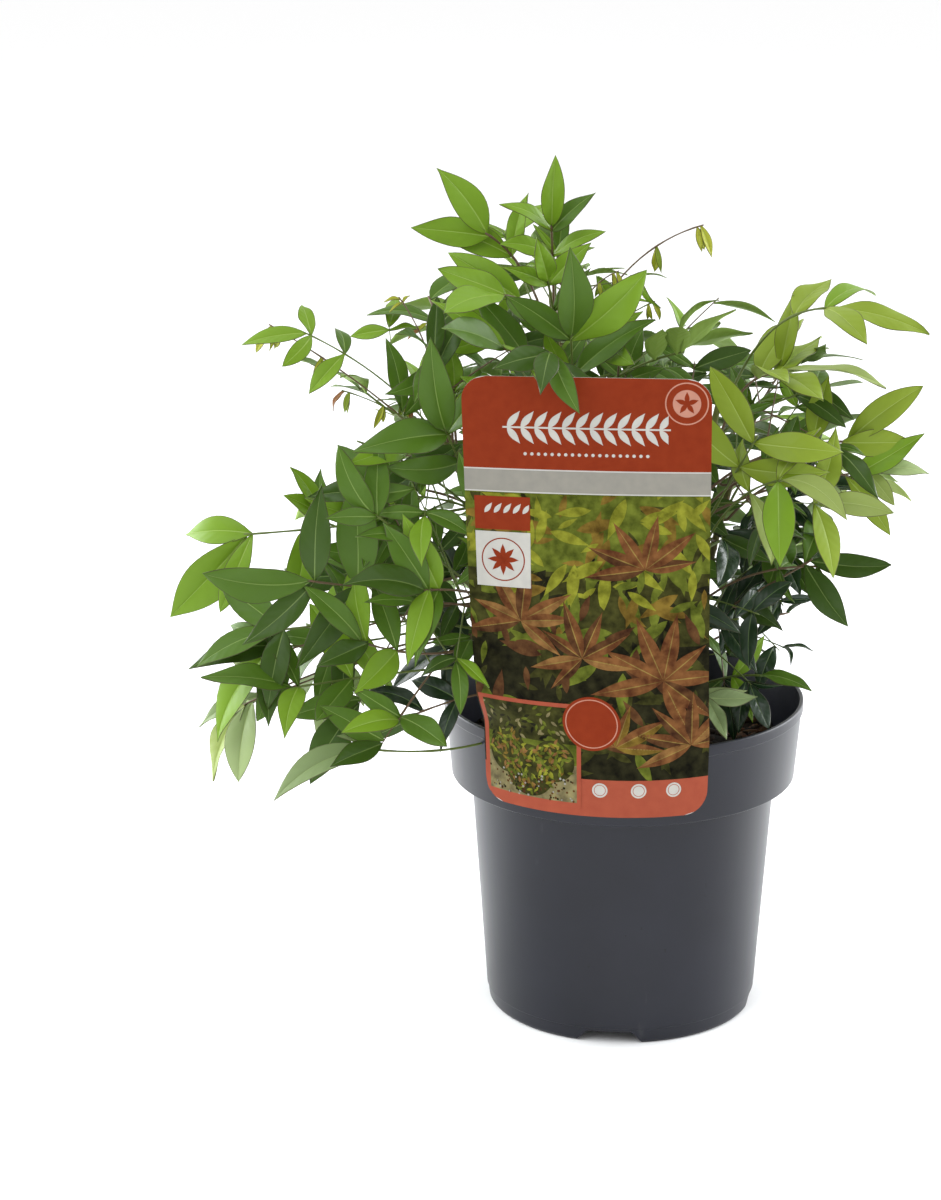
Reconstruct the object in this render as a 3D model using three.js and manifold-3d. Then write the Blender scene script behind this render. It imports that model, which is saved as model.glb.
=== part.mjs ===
// Heavenly bamboo, a young evergreen shrub of upright canes and divided leaves, in its nursery pot.
// Millimetres, +Z up. The origin is the middle of the pot's underside, and the plant's front faces -Y.

import * as THREE from 'three';
import { mergeVertices } from 'three/addons/utils/BufferGeometryUtils.js';
import Module from 'manifold-3d';

const wasm = await Module();
wasm.setup();

// Driving dimensions

const GAP = 0.3; // clear air between neighbouring solids

const POT_HEIGHT = 152;
const RIM_RADIUS = 85;
const BAND_HEIGHT = 37.6; // the collar round the top of the pot
const BAND_FOOT_RADIUS = 81.3;
const BAND_STEP = 1.6; // height of the slope under the collar
const BODY_TOP_RADIUS = 72;
const BASE_RADIUS = 63.8;
const POT_WALL = 1.8;
const POT_SIDES = 48;
const BASE_ROUNDING = 1.5;
const LIP_ROUNDING = 0.8;
const DRAIN_HEIGHT = 6; // roof of the drainage ring under the pot
const DRAIN_SLOPE = 2; // how far the ring's walls lean
const CENTRE_DISC_RADIUS = 24;
const FOOT_RING_WIDTH = 6;
const NOTCH_COUNT = 4; // openings through the foot ring
const NOTCH_FOOT_WIDTH = 31;
const NOTCH_TOP_WIDTH = 21;
const NOTCH_CORNER = 1.5;
const FIRST_NOTCH_TURN = -97; // degrees about +Z from +X
const DRAIN_HOLE_COUNT = 6;
const DRAIN_HOLE_RADIUS = 4.5;
const DRAIN_HOLE_RING = 42; // radius of the circle that the holes stand on

const SOIL_TOP = 127;
const SOIL_CROWN = 3; // the middle of the soil stands this much higher
const SOIL_SHOULDER = [0.6, 0.7]; // a place on its slope, as shares of the radius and of the crown
const SOCKET_DEPTH = 12;
const SOCKET_REACH = 0.2; // share of a cane's length that its socket follows

const CARD_WIDTH = 110;
const CARD_FOOT = 120; // heights of the card's lower and upper edges
const CARD_TOP = 325;
const CARD_THICKNESS = 0.8;
const CARD_CORNER = 11;
const CARD_CLEARANCE = 1.3; // between the rim and the card
const CARD_TUCK = 0.05; // how far each millimetre below the rim leans in along the collar
const CARD_TURN = -12.8; // degrees round the pot from the front
const CARD_TOP_CENTRE = -22; // left of the pot's middle
const CARD_TOP_TURN = -4.5;
const CARD_LEAN = 2; // how far the top edge stands out past the rim line
const CARD_COLUMNS = 10;
const HANGER = { width: 34, rise: 3, drop: 24, thickness: 1, slope: 2.5 }; // strip over the rim behind it

const CANE_FOOT_RADIUS = 2.7;
const CANE_TIP_RADIUS = 1.5;
const CANE_SIDES = 7;
const CANE_STEPS = 6;
const CANE_ELBOW = 0.3; // share of its spread that a cane has made at half its height

// Each cane: where it leaves the soil and where it ends
const CANES = [
  { name: 'middle', foot: [-8, 4], tip: [-36, 8, 345] },
  { name: 'right', foot: [16, -2], tip: [44, -8, 306] },
  { name: 'left', foot: [-24, -8], tip: [-84, -22, 286] },
  { name: 'back', foot: [4, 22], tip: [-4, 62, 310] },
  { name: 'back_left', foot: [-22, 18], tip: [-88, 52, 268] },
  { name: 'back_right', foot: [24, 16], tip: [58, 48, 264] },
  { name: 'low_left', foot: [-16, -24], tip: [-66, -44, 216] },
];

// Leaf rule: a stalk with pairs of side stalks, each ending in three blades, then one pair of
// blades on the stalk itself and three blades at its end.
const STALK_RADIUS = 1.3;
const STALK_TIP_RADIUS = 0.95;
const SIDE_STALK_RADIUS = 0.95;
const SIDE_STALK_TIP_RADIUS = 0.9;
const STALK_SIDES = 3;
const STALK_STEPS = 4;
const STALK_CLEARANCE = 0.65; // between a cane and the stalks on it
const STALK_HIGHEST = 0.97; // place of the highest stalk along its cane
const STALK_BACKWARD = 0.12; // how far a stalk's middle is pulled towards its cane, of its length
const SIDE_TURN = 62; // degrees between a stalk and its side stalks or blades
const SIDE_START = 0.46; // place of the first pair of side stalks along their stalk
const SIDE_STEP = 0.24;
const SIDE_LENGTH = 1.15; // of the blade length, shorter by the next value with each pair
const SIDE_SHORTER = 0.25;
const PAIR_START = 0.72; // place of the last pair of blades, further on after each pair of side stalks
const PAIR_STEP = 0.06;
const BLADE_WIDTH = 0.37; // of its length
const BLADE_THICKNESS = 0.9;
const BLADE_OUTLINE = [[0, 0], [0.27, 0.47], [0.64, 0.37], [1, 0]]; // along and across, of length and width
const BLADE_MIDDLE = 0.42; // place of its two middle corners along the midrib
const BLADE_FOLD = 0.16; // how far the two halves lift beside the midrib
const BLADE_DROOP = 0.1; // how far the tip arches down, of its length
const FLANK_LENGTH = 0.86; // of the end blade beside it
const SMALL_LENGTH = 0.84; // blades of the last pair and at the ends of side stalks
const END_ROOT = 1.4; // how deep the end blade's foot is sunk in its stalk
const END_REACH = 3.5; // how far the stalk runs on past its last pair of blades
const TRIES = 4; // poses that a blade tries before it is left out
const SHORTER_EACH_TRY = 0.09;
const WIDER_EACH_TRY = 0.6;
const SMALLEST_DETAIL = 0.05; // shorter edges are merged where blades and stalks join

// Numbers that tell the blades and side stalks of one leaf apart
const END_KEY = 1;
const PAIR_KEY = 8;
const SIDE_KEY = 20;

// How far the rule's values vary: degrees for turns, shares of the value for the rest
const VARY = {
  sideTurn: 10, sideHang: 0.25, sideLength: 0.15, turn: 11, hang: 0.3, lift: 0.12, roll: 30, length: 0.13,
};

// Each leaf: its cane, the height at which it leaves it, the end of its main stalk, how far the
// stalk arches over the straight line, where its face turns (degrees from up towards the front),
// its blade length, how much the blades hang and its pairs of side stalks where it hasn't one pair.
const LEAVES = {
  top: { cane: 0, at: 330, tip: [-35, -4, 374], arch: -2, face: 60, blade: 31, hang: -0.1, pairs: 0 },
  top_left: { cane: 0, at: 306, tip: [-62, -10, 368], arch: -6, face: 55, blade: 39, hang: -0.2, pairs: 0 },
  top_front: { cane: 0, at: 300, tip: [-38, -34, 358], arch: -4, face: 55, blade: 30, hang: -0.2, pairs: 0 },
  upright: { cane: 0, at: 262, tip: [-28, -60, 338], arch: -8, face: 75, blade: 48, hang: -0.5, pairs: 0 },
  high_left: { cane: 0, at: 288, tip: [-58, -42, 352], arch: 26, face: 30, blade: 43, hang: 0 },
  high_front: { cane: 0, at: 250, tip: [-58, -62, 332], arch: 28, face: 35, blade: 46, hang: -0.1, pairs: 0 },
  high_side: { cane: 2, at: 272, tip: [-92, 16, 340], arch: 20, face: 20, blade: 38, hang: -0.1, pairs: 0 },
  upper_left: { cane: 2, at: 282, tip: [-90, -42, 324], arch: 6, face: 45, blade: 36, hang: 0.1 },
  broad: { cane: 2, at: 240, tip: [-84, -62, 296], arch: -10, face: 65, blade: 48, hang: 0, pairs: 0 },
  over_card: { cane: 0, at: 276, tip: [-38, -94, 336], arch: 14, face: 70, blade: 38, hang: 1, pairs: 0 },
  high_right: { cane: 0, at: 286, tip: [26, -18, 330], arch: 20, face: 35, blade: 37, hang: 0 },
  high_back: { cane: 3, at: 296, tip: [-42, 60, 350], arch: 4, face: -35, blade: 38, hang: 0.1 },
  high_back_left: { cane: 3, at: 262, tip: [-72, 62, 324], arch: 10, face: -30, blade: 40, hang: 0.2 },

  right_long: { cane: 1, at: 290, tip: [92, -10, 339], arch: 24, face: 22, blade: 47, hang: 0, pairs: 0 },
  right_high: { cane: 1, at: 270, tip: [74, -32, 314], arch: 20, face: 32, blade: 43, hang: 0, pairs: 0 },
  right_upright: { cane: 1, at: 228, tip: [57, -44, 288], arch: -12, face: 75, blade: 47, hang: -0.1 },
  right_far: { cane: 1, at: 252, tip: [101, -12, 272], arch: -8, face: 62, blade: 44, hang: -0.1 },
  right_end: { cane: 1, at: 238, tip: [116, -6, 262], arch: 8, face: 55, blade: 26, hang: 0, pairs: 0 },
  right_front: { cane: 1, at: 206, tip: [68, -54, 270], arch: 20, face: 60, blade: 46, hang: 0.45, pairs: 0 },
  right_low: { cane: 1, at: 184, tip: [83, -22, 222], arch: 18, face: 58, blade: 41, hang: 0, pairs: 0 },
  right_lower: { cane: 1, at: 160, tip: [52, -24, 196], arch: 12, face: 50, blade: 34, hang: 0.25 },
  rim_right: { cane: 1, at: 146, tip: [63, -32, 171], arch: 8, face: 60, blade: 27, hang: 0.2, pairs: 0 },
  rim_front: { cane: 1, at: 140, tip: [36, -52, 166], arch: 8, face: 45, blade: 30, hang: 0.3, pairs: 0 },
  right_inner: { cane: 5, at: 208, tip: [80, 14, 244], arch: 8, face: 40, blade: 36, hang: 0.1 },
  right_inner_low: { cane: 5, at: 172, tip: [64, 12, 212], arch: 8, face: 40, blade: 32, hang: 0.2 },
  back_right_high: { cane: 5, at: 262, tip: [84, 66, 300], arch: 10, face: -20, blade: 40, hang: 0.1 },
  back_right: { cane: 5, at: 226, tip: [108, 64, 246], arch: 14, face: -30, blade: 40, hang: 0.2 },
  back_right_low: { cane: 5, at: 170, tip: [78, 86, 200], arch: 12, face: -40, blade: 38, hang: 0.2 },

  far_left: { cane: 2, at: 248, tip: [-174, -22, 236], arch: 20, face: 55, blade: 41, hang: 0.15 },
  left: { cane: 2, at: 222, tip: [-142, -62, 228], arch: 6, face: 62, blade: 51, hang: 0 },
  left_upright: { cane: 2, at: 234, tip: [-114, -46, 250], arch: 10, face: 70, blade: 42, hang: -0.35 },
  left_front: { cane: 6, at: 216, tip: [-94, -77, 225], arch: 2, face: 68, blade: 46, hang: 0 },
  left_middle: { cane: 6, at: 196, tip: [-122, -64, 195], arch: 10, face: 60, blade: 44, hang: 0.1 },
  left_outer: { cane: 2, at: 206, tip: [-158, -40, 200], arch: 12, face: 55, blade: 42, hang: 0.1 },
  low_left_far: { cane: 6, at: 176, tip: [-151, -62, 176], arch: 12, face: 60, blade: 44, hang: 0.2 },
  hanging: { cane: 2, at: 182, tip: [-176, -32, 148], arch: 24, face: 60, blade: 42, hang: 0.9, pairs: 0 },
  low_front: { cane: 6, at: 154, tip: [-113, -76, 145], arch: 10, face: -12, blade: 54, hang: 0, pairs: 0 },
  rim_left: { cane: 6, at: 162, tip: [-98, -50, 158], arch: 10, face: 45, blade: 34, hang: 0.1, pairs: 0 },
  left_inner: { cane: 6, at: 186, tip: [-82, -30, 184], arch: 10, face: 50, blade: 34, hang: 0.2 },
  back_left_high: { cane: 4, at: 268, tip: [-126, 56, 288], arch: -7, face: -20, blade: 38, hang: 0.1 },
  back_left: { cane: 4, at: 232, tip: [-156, 42, 236], arch: 16, face: -25, blade: 40, hang: 0.2, pairs: 2 },
  back_left_low: { cane: 4, at: 190, tip: [-122, 78, 190], arch: 14, face: -40, blade: 42, hang: 0.2 },
  back: { cane: 3, at: 244, tip: [-26, 116, 268], arch: 14, face: -55, blade: 42, hang: 0.2 },
  back_low: { cane: 3, at: 190, tip: [-46, 110, 196], arch: 14, face: -50, blade: 42, hang: 0.2 },
  back_upper: { cane: 3, at: 276, tip: [34, 92, 300], arch: 12, face: -45, blade: 40, hang: 0.1 },
  back_lower_right: { cane: 3, at: 166, tip: [34, 112, 206], arch: 14, face: -50, blade: 40, hang: 0.2 },
};

// Young leaves that still hang folded, by the same rule
const SHOOTS = {
  top_right: { cane: 0, at: 322, tip: [34, 2, 376], arch: 22, face: 60, blade: 15, hang: 2.5, pairs: 0 },
  left_long: { cane: 2, at: 262, tip: [-165, -4, 331], arch: 2, face: 60, blade: 15, hang: 2 },
  left_short: { cane: 2, at: 272, tip: [-148, -26, 332], arch: 8, face: 35, blade: 28, hang: 0.3 },
};

// Colour, roughness and metalness of each material
const FINISHES = {
  pot: [0x3f4348, 0.45, 0],
  soil: [0x2b211a, 0.95, 0],
  card: [0xb5482c, 0.5, 0],
  cane: [0x6f6a45, 0.7, 0],
  leaf: [0x5d9430, 0.5, 0],
  shoot: [0xa8b23c, 0.5, 0],
};

const vector = (x, y, z) => new THREE.Vector3(x, y, z);
const radians = THREE.MathUtils.degToRad;
const { lerp, clamp } = THREE.MathUtils;

// Solids and meshes

function solidOf(geometry) {
  geometry.deleteAttribute('normal');
  geometry.deleteAttribute('uv');
  const merged = mergeVertices(geometry, 1e-4);
  return new wasm.Manifold(new wasm.Mesh({
    numProp: 3,
    vertProperties: new Float32Array(merged.attributes.position.array),
    triVerts: new Uint32Array(merged.index.array),
  }));
}

function meshOf(name, solid, finish) {
  const { vertProperties, triVerts } = solid.getMesh();
  const geometry = new THREE.BufferGeometry();
  geometry.setAttribute('position', new THREE.BufferAttribute(vertProperties, 3));
  geometry.setIndex(new THREE.BufferAttribute(triVerts, 1));
  geometry.computeVertexNormals();
  const [color, roughness, metalness] = FINISHES[finish];
  const mesh = new THREE.Mesh(geometry, new THREE.MeshStandardMaterial({ color, roughness, metalness }));
  mesh.name = name;
  return mesh;
}

// Moves every vertex of a geometry to where moved(x, y, z) says.
function reshape(geometry, moved) {
  const position = geometry.attributes.position;
  for (let i = 0; i < position.count; i += 1) {
    const point = moved(position.getX(i), position.getY(i), position.getZ(i));
    position.setXYZ(i, point.x, point.y, point.z);
  }
  return geometry;
}

// A solid of revolution about +Z from pairs of radius and height.
function turned(profile) {
  const points = profile.map(([radius, height]) => new THREE.Vector2(radius, height));
  return solidOf(new THREE.LatheGeometry(points, POT_SIDES).rotateX(Math.PI / 2));
}

function outlineOf(corners) {
  const shape = new THREE.Shape();
  shape.setFromPoints(corners.map(([x, y]) => new THREE.Vector2(x, y)));
  shape.closePath();
  return shape;
}

// A closed tapering tube of a few sides along a curve; one corner points to where facing says.
function tube(curve, footRadius, tipRadius, sides, steps, facing) {
  const straight = new THREE.CylinderGeometry(tipRadius, footRadius, 1, sides, steps);
  return solidOf(reshape(straight, (x, y, z) => {
    const along = y + 0.5;
    const tangent = curve.getTangent(along);
    const outward = facing.clone().addScaledVector(tangent, -facing.dot(tangent)).normalize();
    const across = tangent.clone().cross(outward);
    return curve.getPoint(along).addScaledVector(across, x).addScaledVector(outward, z);
  }));
}

// Pot

const bandFoot = POT_HEIGHT - BAND_HEIGHT;
const potFloor = DRAIN_HEIGHT + POT_WALL;
const shelf = bandFoot + POT_WALL;

// Inner radius of the pot at a height above its floor
function innerRadius(height) {
  if (height >= shelf) {
    const share = (height - shelf) / (POT_HEIGHT - shelf);
    return lerp(BAND_FOOT_RADIUS, RIM_RADIUS, share) - POT_WALL;
  }
  const share = (height - DRAIN_HEIGHT) / (bandFoot - DRAIN_HEIGHT);
  return lerp(BASE_RADIUS, BODY_TOP_RADIUS, share) - POT_WALL;
}

function makeNotch(turn) {
  const outline = outlineOf([
    [-NOTCH_FOOT_WIDTH / 2 - 1, -1],
    [NOTCH_FOOT_WIDTH / 2 + 1, -1],
    [NOTCH_TOP_WIDTH / 2 + NOTCH_CORNER, DRAIN_HEIGHT - NOTCH_CORNER],
    [NOTCH_TOP_WIDTH / 2 - NOTCH_CORNER / 2, DRAIN_HEIGHT],
    [-NOTCH_TOP_WIDTH / 2 + NOTCH_CORNER / 2, DRAIN_HEIGHT],
    [-NOTCH_TOP_WIDTH / 2 - NOTCH_CORNER, DRAIN_HEIGHT - NOTCH_CORNER],
  ]);
  const notch = new THREE.ExtrudeGeometry(outline, { depth: FOOT_RING_WIDTH * 3, bevelEnabled: false });
  notch.rotateX(Math.PI / 2).rotateZ(Math.PI / 2).translate(BASE_RADIUS - FOOT_RING_WIDTH * 2, 0, 0);
  return solidOf(notch.rotateZ(radians(turn)));
}

function makeDrainHole(turn) {
  const hole = new THREE.CylinderGeometry(DRAIN_HOLE_RADIUS, DRAIN_HOLE_RADIUS, potFloor + 2, 8);
  hole.rotateX(Math.PI / 2).translate(DRAIN_HOLE_RING, 0, potFloor / 2 + 2);
  return solidOf(hole.rotateZ(radians(turn)));
}

function makePot() {
  const footInner = BASE_RADIUS - FOOT_RING_WIDTH;
  const body = turned([
    [0, 0],
    [CENTRE_DISC_RADIUS, 0],
    [CENTRE_DISC_RADIUS + DRAIN_SLOPE, DRAIN_HEIGHT],
    [footInner - DRAIN_SLOPE, DRAIN_HEIGHT],
    [footInner, 0],
    [BASE_RADIUS - BASE_ROUNDING, 0],
    [BASE_RADIUS, BASE_ROUNDING],
    [BODY_TOP_RADIUS, bandFoot - BAND_STEP],
    [BODY_TOP_RADIUS + BAND_STEP, bandFoot],
    [BAND_FOOT_RADIUS, bandFoot],
    [RIM_RADIUS, POT_HEIGHT - LIP_ROUNDING],
    [RIM_RADIUS - LIP_ROUNDING, POT_HEIGHT],
    [RIM_RADIUS - POT_WALL, POT_HEIGHT],
    [innerRadius(shelf), shelf],
    [BODY_TOP_RADIUS - POT_WALL, shelf],
    [innerRadius(potFloor), potFloor],
    [CENTRE_DISC_RADIUS - POT_WALL / 2, potFloor],
    [CENTRE_DISC_RADIUS - DRAIN_SLOPE, POT_WALL],
    [0, POT_WALL],
  ]);
  const cuts = [];
  for (let i = 0; i < NOTCH_COUNT; i += 1) {
    cuts.push(makeNotch(FIRST_NOTCH_TURN + (i * 360) / NOTCH_COUNT));
  }
  for (let i = 0; i < DRAIN_HOLE_COUNT; i += 1) {
    cuts.push(makeDrainHole(((i + 0.5) * 360) / DRAIN_HOLE_COUNT));
  }
  return body.subtract(wasm.Manifold.union(cuts));
}

// Canes and soil

const FORWARD = vector(0, -1, 0);

const caneCurves = CANES.map(({ foot, tip }) => {
  const start = vector(...foot, SOIL_TOP - SOCKET_DEPTH);
  const end = vector(...tip);
  const elbow = start.clone().lerp(end, CANE_ELBOW);
  elbow.z = (start.z + end.z) / 2;
  return new THREE.QuadraticBezierCurve3(start, elbow, end);
});

const makeCane = (curve) => tube(curve, CANE_FOOT_RADIUS, CANE_TIP_RADIUS, CANE_SIDES, CANE_STEPS, FORWARD);

function makeSocket(curve) {
  const start = curve.getPoint(0);
  start.z -= GAP;
  const line = new THREE.LineCurve3(start, curve.getPoint(SOCKET_REACH));
  const radius = CANE_FOOT_RADIUS + GAP * 2;
  return tube(line, radius, radius, CANE_SIDES, 1, FORWARD);
}

function makeSoil() {
  const rim = innerRadius(SOIL_TOP) - GAP;
  const floor = potFloor + GAP;
  const ledge = shelf + GAP;
  const body = turned([
    [0, POT_WALL + GAP],
    [CENTRE_DISC_RADIUS - DRAIN_SLOPE * 2, POT_WALL + GAP],
    [CENTRE_DISC_RADIUS - DRAIN_SLOPE, floor],
    [innerRadius(floor) - GAP, floor],
    [BODY_TOP_RADIUS - POT_WALL - GAP, ledge],
    [innerRadius(ledge) - GAP * 1.4, ledge],
    [rim, SOIL_TOP],
    [rim * SOIL_SHOULDER[0], SOIL_TOP + SOIL_CROWN * SOIL_SHOULDER[1]],
    [0, SOIL_TOP + SOIL_CROWN],
  ]);
  return body.subtract(wasm.Manifold.union(caneCurves.map(makeSocket)));
}

// Plant card: flat at its top, wrapped round the pot's collar at its foot, with a strip behind it
// that hangs over the rim.

const rimLine = POT_HEIGHT + HANGER.rise - HANGER.thickness;
const cardRadius = RIM_RADIUS + CARD_CLEARANCE;

function cardPoint(across, height, outward) {
  const radius = cardRadius + outward - Math.max(0, rimLine - height) * CARD_TUCK;
  const turn = radians(CARD_TURN) + across / RIM_RADIUS;
  const wrapped = vector(Math.sin(turn) * radius, -Math.cos(turn) * radius, height);
  const facing = radians(CARD_TOP_TURN);
  const flat = vector(
    CARD_TOP_CENTRE + Math.cos(facing) * across + Math.sin(facing) * outward,
    -cardRadius - CARD_LEAN + Math.sin(facing) * across - Math.cos(facing) * outward,
    height,
  );
  const share = clamp((height - rimLine) / (CARD_TOP - rimLine), 0, 1);
  return wrapped.lerp(flat, Math.sqrt(share));
}

function makeCard() {
  const tall = CARD_TOP - CARD_FOOT;
  const corner = [0, 0.07, 0.29, 1].map((share) => share * CARD_CORNER);
  const between = [0.17, 0.29, 0.49, 0.73].map((share) => share * tall);
  const heights = [...corner, ...between, ...corner.map((step) => tall - step).reverse()];
  const rows = heights.length - 1;
  const sheet = new THREE.BoxGeometry(1, 1, 1, CARD_COLUMNS, 1, rows);
  const card = solidOf(reshape(sheet, (x, y, z) => {
    const height = heights[Math.round((z + 0.5) * rows)];
    const intoCorner = Math.max(0, CARD_CORNER - Math.min(height, tall - height));
    const width = CARD_WIDTH / 2 - CARD_CORNER + Math.sqrt(CARD_CORNER ** 2 - intoCorner ** 2);
    return cardPoint(x * 2 * width, CARD_FOOT + height, -y * CARD_THICKNESS);
  }));

  const { width, rise, drop, thickness, slope } = HANGER;
  const inside = RIM_RADIUS - POT_WALL - GAP * 2;
  const straight = new THREE.ExtrudeGeometry(outlineOf([
    [cardRadius, POT_HEIGHT + rise],
    [cardRadius, rimLine],
    [inside, rimLine],
    [inside - slope, POT_HEIGHT - drop],
    [inside - slope - thickness, POT_HEIGHT - drop],
    [inside - thickness, POT_HEIGHT + rise],
  ]), { depth: width, steps: 4, bevelEnabled: false });
  const strip = solidOf(reshape(straight, (radius, height, across) => {
    const turn = radians(CARD_TURN) + (width / 2 - across) / RIM_RADIUS;
    return vector(Math.sin(turn) * radius, -Math.cos(turn) * radius, height);
  }));
  return card.add(strip);
}

// Leaves

const named = (kind, table) => Object.entries(table).map(([name, leaf]) => (
  { pairs: 1, ...leaf, name: `${kind}_${name}`, finish: kind }
));
const leaves = [...named('leaf', LEAVES), ...named('shoot', SHOOTS)];

// A repeatable number from 0 to 1 for a leaf, one of its parts and one use of it.
function chance(...keys) {
  let hash = 2166136261;
  for (const key of keys) {
    hash = Math.imul(hash ^ (key + 1), 16777619) >>> 0;
    hash = (hash ^ (hash >>> 15)) >>> 0;
    hash = Math.imul(hash, 2246822519) >>> 0;
    hash = (hash ^ (hash >>> 13)) >>> 0;
  }
  return hash / 2 ** 32;
}

const spread = (amount, ...keys) => (chance(...keys) * 2 - 1) * amount;

// The main stalk leaves its cane sideways, then rises over the straight line to its tip.
function leafCurve(leaf) {
  const cane = caneCurves[leaf.cane];
  const end = vector(...leaf.tip);
  let share = 0;
  while (share < STALK_HIGHEST && cane.getPoint(share).z < leaf.at) share += 0.01;
  const foot = cane.getPoint(share);
  const outward = vector(end.x - foot.x, end.y - foot.y, 0).normalize();
  const caneRadius = lerp(CANE_FOOT_RADIUS, CANE_TIP_RADIUS, share);
  foot.addScaledVector(outward, caneRadius + STALK_RADIUS + STALK_CLEARANCE);
  const middle = foot.clone().lerp(end, 0.5);
  middle.z += leaf.arch;
  middle.addScaledVector(outward, -STALK_BACKWARD * foot.distanceTo(end));
  return new THREE.QuadraticBezierCurve3(foot, middle, end);
}

// A place on the straight pieces that make up a main stalk
function stalkPoint(curve, along) {
  const step = Math.min(Math.floor(along * STALK_STEPS), STALK_STEPS - 1);
  const next = curve.getPoint((step + 1) / STALK_STEPS);
  return curve.getPoint(step / STALK_STEPS).lerp(next, along * STALK_STEPS - step);
}

// The direction of a stalk or blade that leaves another to one side, turned about the leaf's face.
function sideways(direction, facing, degrees, hang) {
  const normal = facing.clone().addScaledVector(direction, -facing.dot(direction)).normalize();
  const turnedAway = direction.clone().applyAxisAngle(normal, radians(degrees));
  turnedAway.z -= hang;
  return turnedAway.normalize();
}

// One blade at the end of a stalk and one on each side behind it
function threeBlades(stalk, end, behind, direction, length, key) {
  const point = end.clone().addScaledVector(direction, -END_ROOT);
  const flankLength = length * FLANK_LENGTH;
  return [
    { stalk, point, direction, length, key, turn: 0 },
    { stalk, point: behind, direction, length: flankLength, key: key + 1, turn: -SIDE_TURN },
    { stalk, point: behind, direction, length: flankLength, key: key + 3, turn: SIDE_TURN },
  ];
}

// Side stalks and blade sites of one leaf, worked out before anything is built.
function planLeaf(leaf, index) {
  const curve = leafCurve(leaf);
  const facing = vector(0, -Math.sin(radians(leaf.face)), Math.cos(radians(leaf.face)));
  const sites = [];
  const sideStalks = [];
  for (let pair = 0; pair < leaf.pairs; pair += 1) {
    const along = SIDE_START + SIDE_STEP * pair;
    for (const side of [-1, 1]) {
      const key = SIDE_KEY + pair * 20 + side * 5;
      const foot = stalkPoint(curve, along);
      const turn = side * (SIDE_TURN + spread(VARY.sideTurn, index, key, 0));
      const hang = leaf.hang * 0.5 + spread(VARY.sideHang, index, key, 1);
      const direction = sideways(curve.getTangent(along), facing, turn, hang);
      const length = leaf.blade * (SIDE_LENGTH - SIDE_SHORTER * pair);
      const reach = length * (1 + spread(VARY.sideLength, index, key, 2));
      const end = foot.clone().addScaledVector(direction, reach);
      sideStalks.push({ foot, end, key });
      const behind = end.clone().addScaledVector(direction, -END_REACH);
      sites.push(...threeBlades(key, end, behind, direction, leaf.blade * SMALL_LENGTH, key));
    }
  }
  const along = PAIR_START + PAIR_STEP * leaf.pairs;
  const point = stalkPoint(curve, along);
  const direction = curve.getTangent(along);
  const length = leaf.blade * SMALL_LENGTH;
  for (const side of [-1, 1]) {
    sites.push({ stalk: 0, point, direction, length, key: PAIR_KEY + side, turn: side * SIDE_TURN });
  }
  const behind = stalkPoint(curve, 1 - END_REACH / curve.v0.distanceTo(curve.v2));
  sites.push(...threeBlades(0, curve.v2, behind, curve.getTangent(1), leaf.blade, END_KEY));
  return { leaf, index, curve, facing, sites, sideStalks };
}

// One blade: a six-cornered outline, folded up along its midrib and arched down to its tip.
function makeBlade({ root, direction, normal, length }) {
  const width = length * BLADE_WIDTH;
  const across = direction.clone().cross(normal);
  return solidOf(reshape(new THREE.SphereGeometry(1, 6, 2), (x, y, z) => {
    const onMidrib = Math.abs(y) > 0.5;
    const [along, half] = BLADE_OUTLINE[Math.round((x + 1) * 1.5)];
    const reach = onMidrib ? BLADE_MIDDLE : along;
    const aside = onMidrib ? 0 : Math.sign(Math.round(z * 10)) * half * width;
    const lift = onMidrib ? (Math.sign(y) * BLADE_THICKNESS) / 2 : Math.abs(aside) * BLADE_FOLD;
    return root.clone()
      .addScaledVector(direction, reach * length)
      .addScaledVector(across, aside)
      .addScaledVector(normal, lift - BLADE_DROOP * length * reach ** 2);
  }));
}

// The pose that a blade takes at its site on the given try.
function poseBlade({ leaf, index, facing }, site, attempt) {
  const draw = (use, amount) => spread(amount, index, site.key, attempt * 4 + use);
  const wider = 1 + attempt * WIDER_EACH_TRY;
  const turn = site.turn + draw(0, VARY.turn) * wider;
  const hang = leaf.hang * (1 + draw(1, VARY.hang)) + draw(1, VARY.lift);
  const direction = sideways(site.direction, facing, turn, hang);
  const normal = facing.clone().addScaledVector(direction, -facing.dot(direction)).normalize();
  normal.applyAxisAngle(direction, radians(draw(2, VARY.roll) * wider));
  const length = site.length * (1 + draw(3, VARY.length)) * (1 - SHORTER_EACH_TRY * attempt);
  return { root: site.point, direction, normal, length };
}

// Placed solids, each with its leaf, stalk and root, so that later ones keep clear of them
const placed = [];

function place(solid, leaf = -1, stalk = -1, root = null) {
  placed.push({ solid, box: solid.boundingBox(), leaf, stalk, root });
  return solid;
}

function isClear(solid, isOwn) {
  const box = solid.boundingBox();
  const isNear = (other) => [0, 1, 2].every((axis) => (
    box.min[axis] < other.max[axis] + GAP && other.min[axis] < box.max[axis] + GAP
  ));
  return placed.every((other) => isOwn(other)
    || !isNear(other.box)
    || solid.minGap(other.solid, GAP) >= GAP * 0.99);
}

function makeStalk({ leaf, index, curve, facing }) {
  const stalk = tube(curve, STALK_RADIUS, STALK_TIP_RADIUS, STALK_SIDES, STALK_STEPS, facing);
  if (!isClear(stalk, () => false)) throw new Error(`the stalk of ${leaf.name} isn't clear`);
  return place(stalk, index, 0);
}

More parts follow.
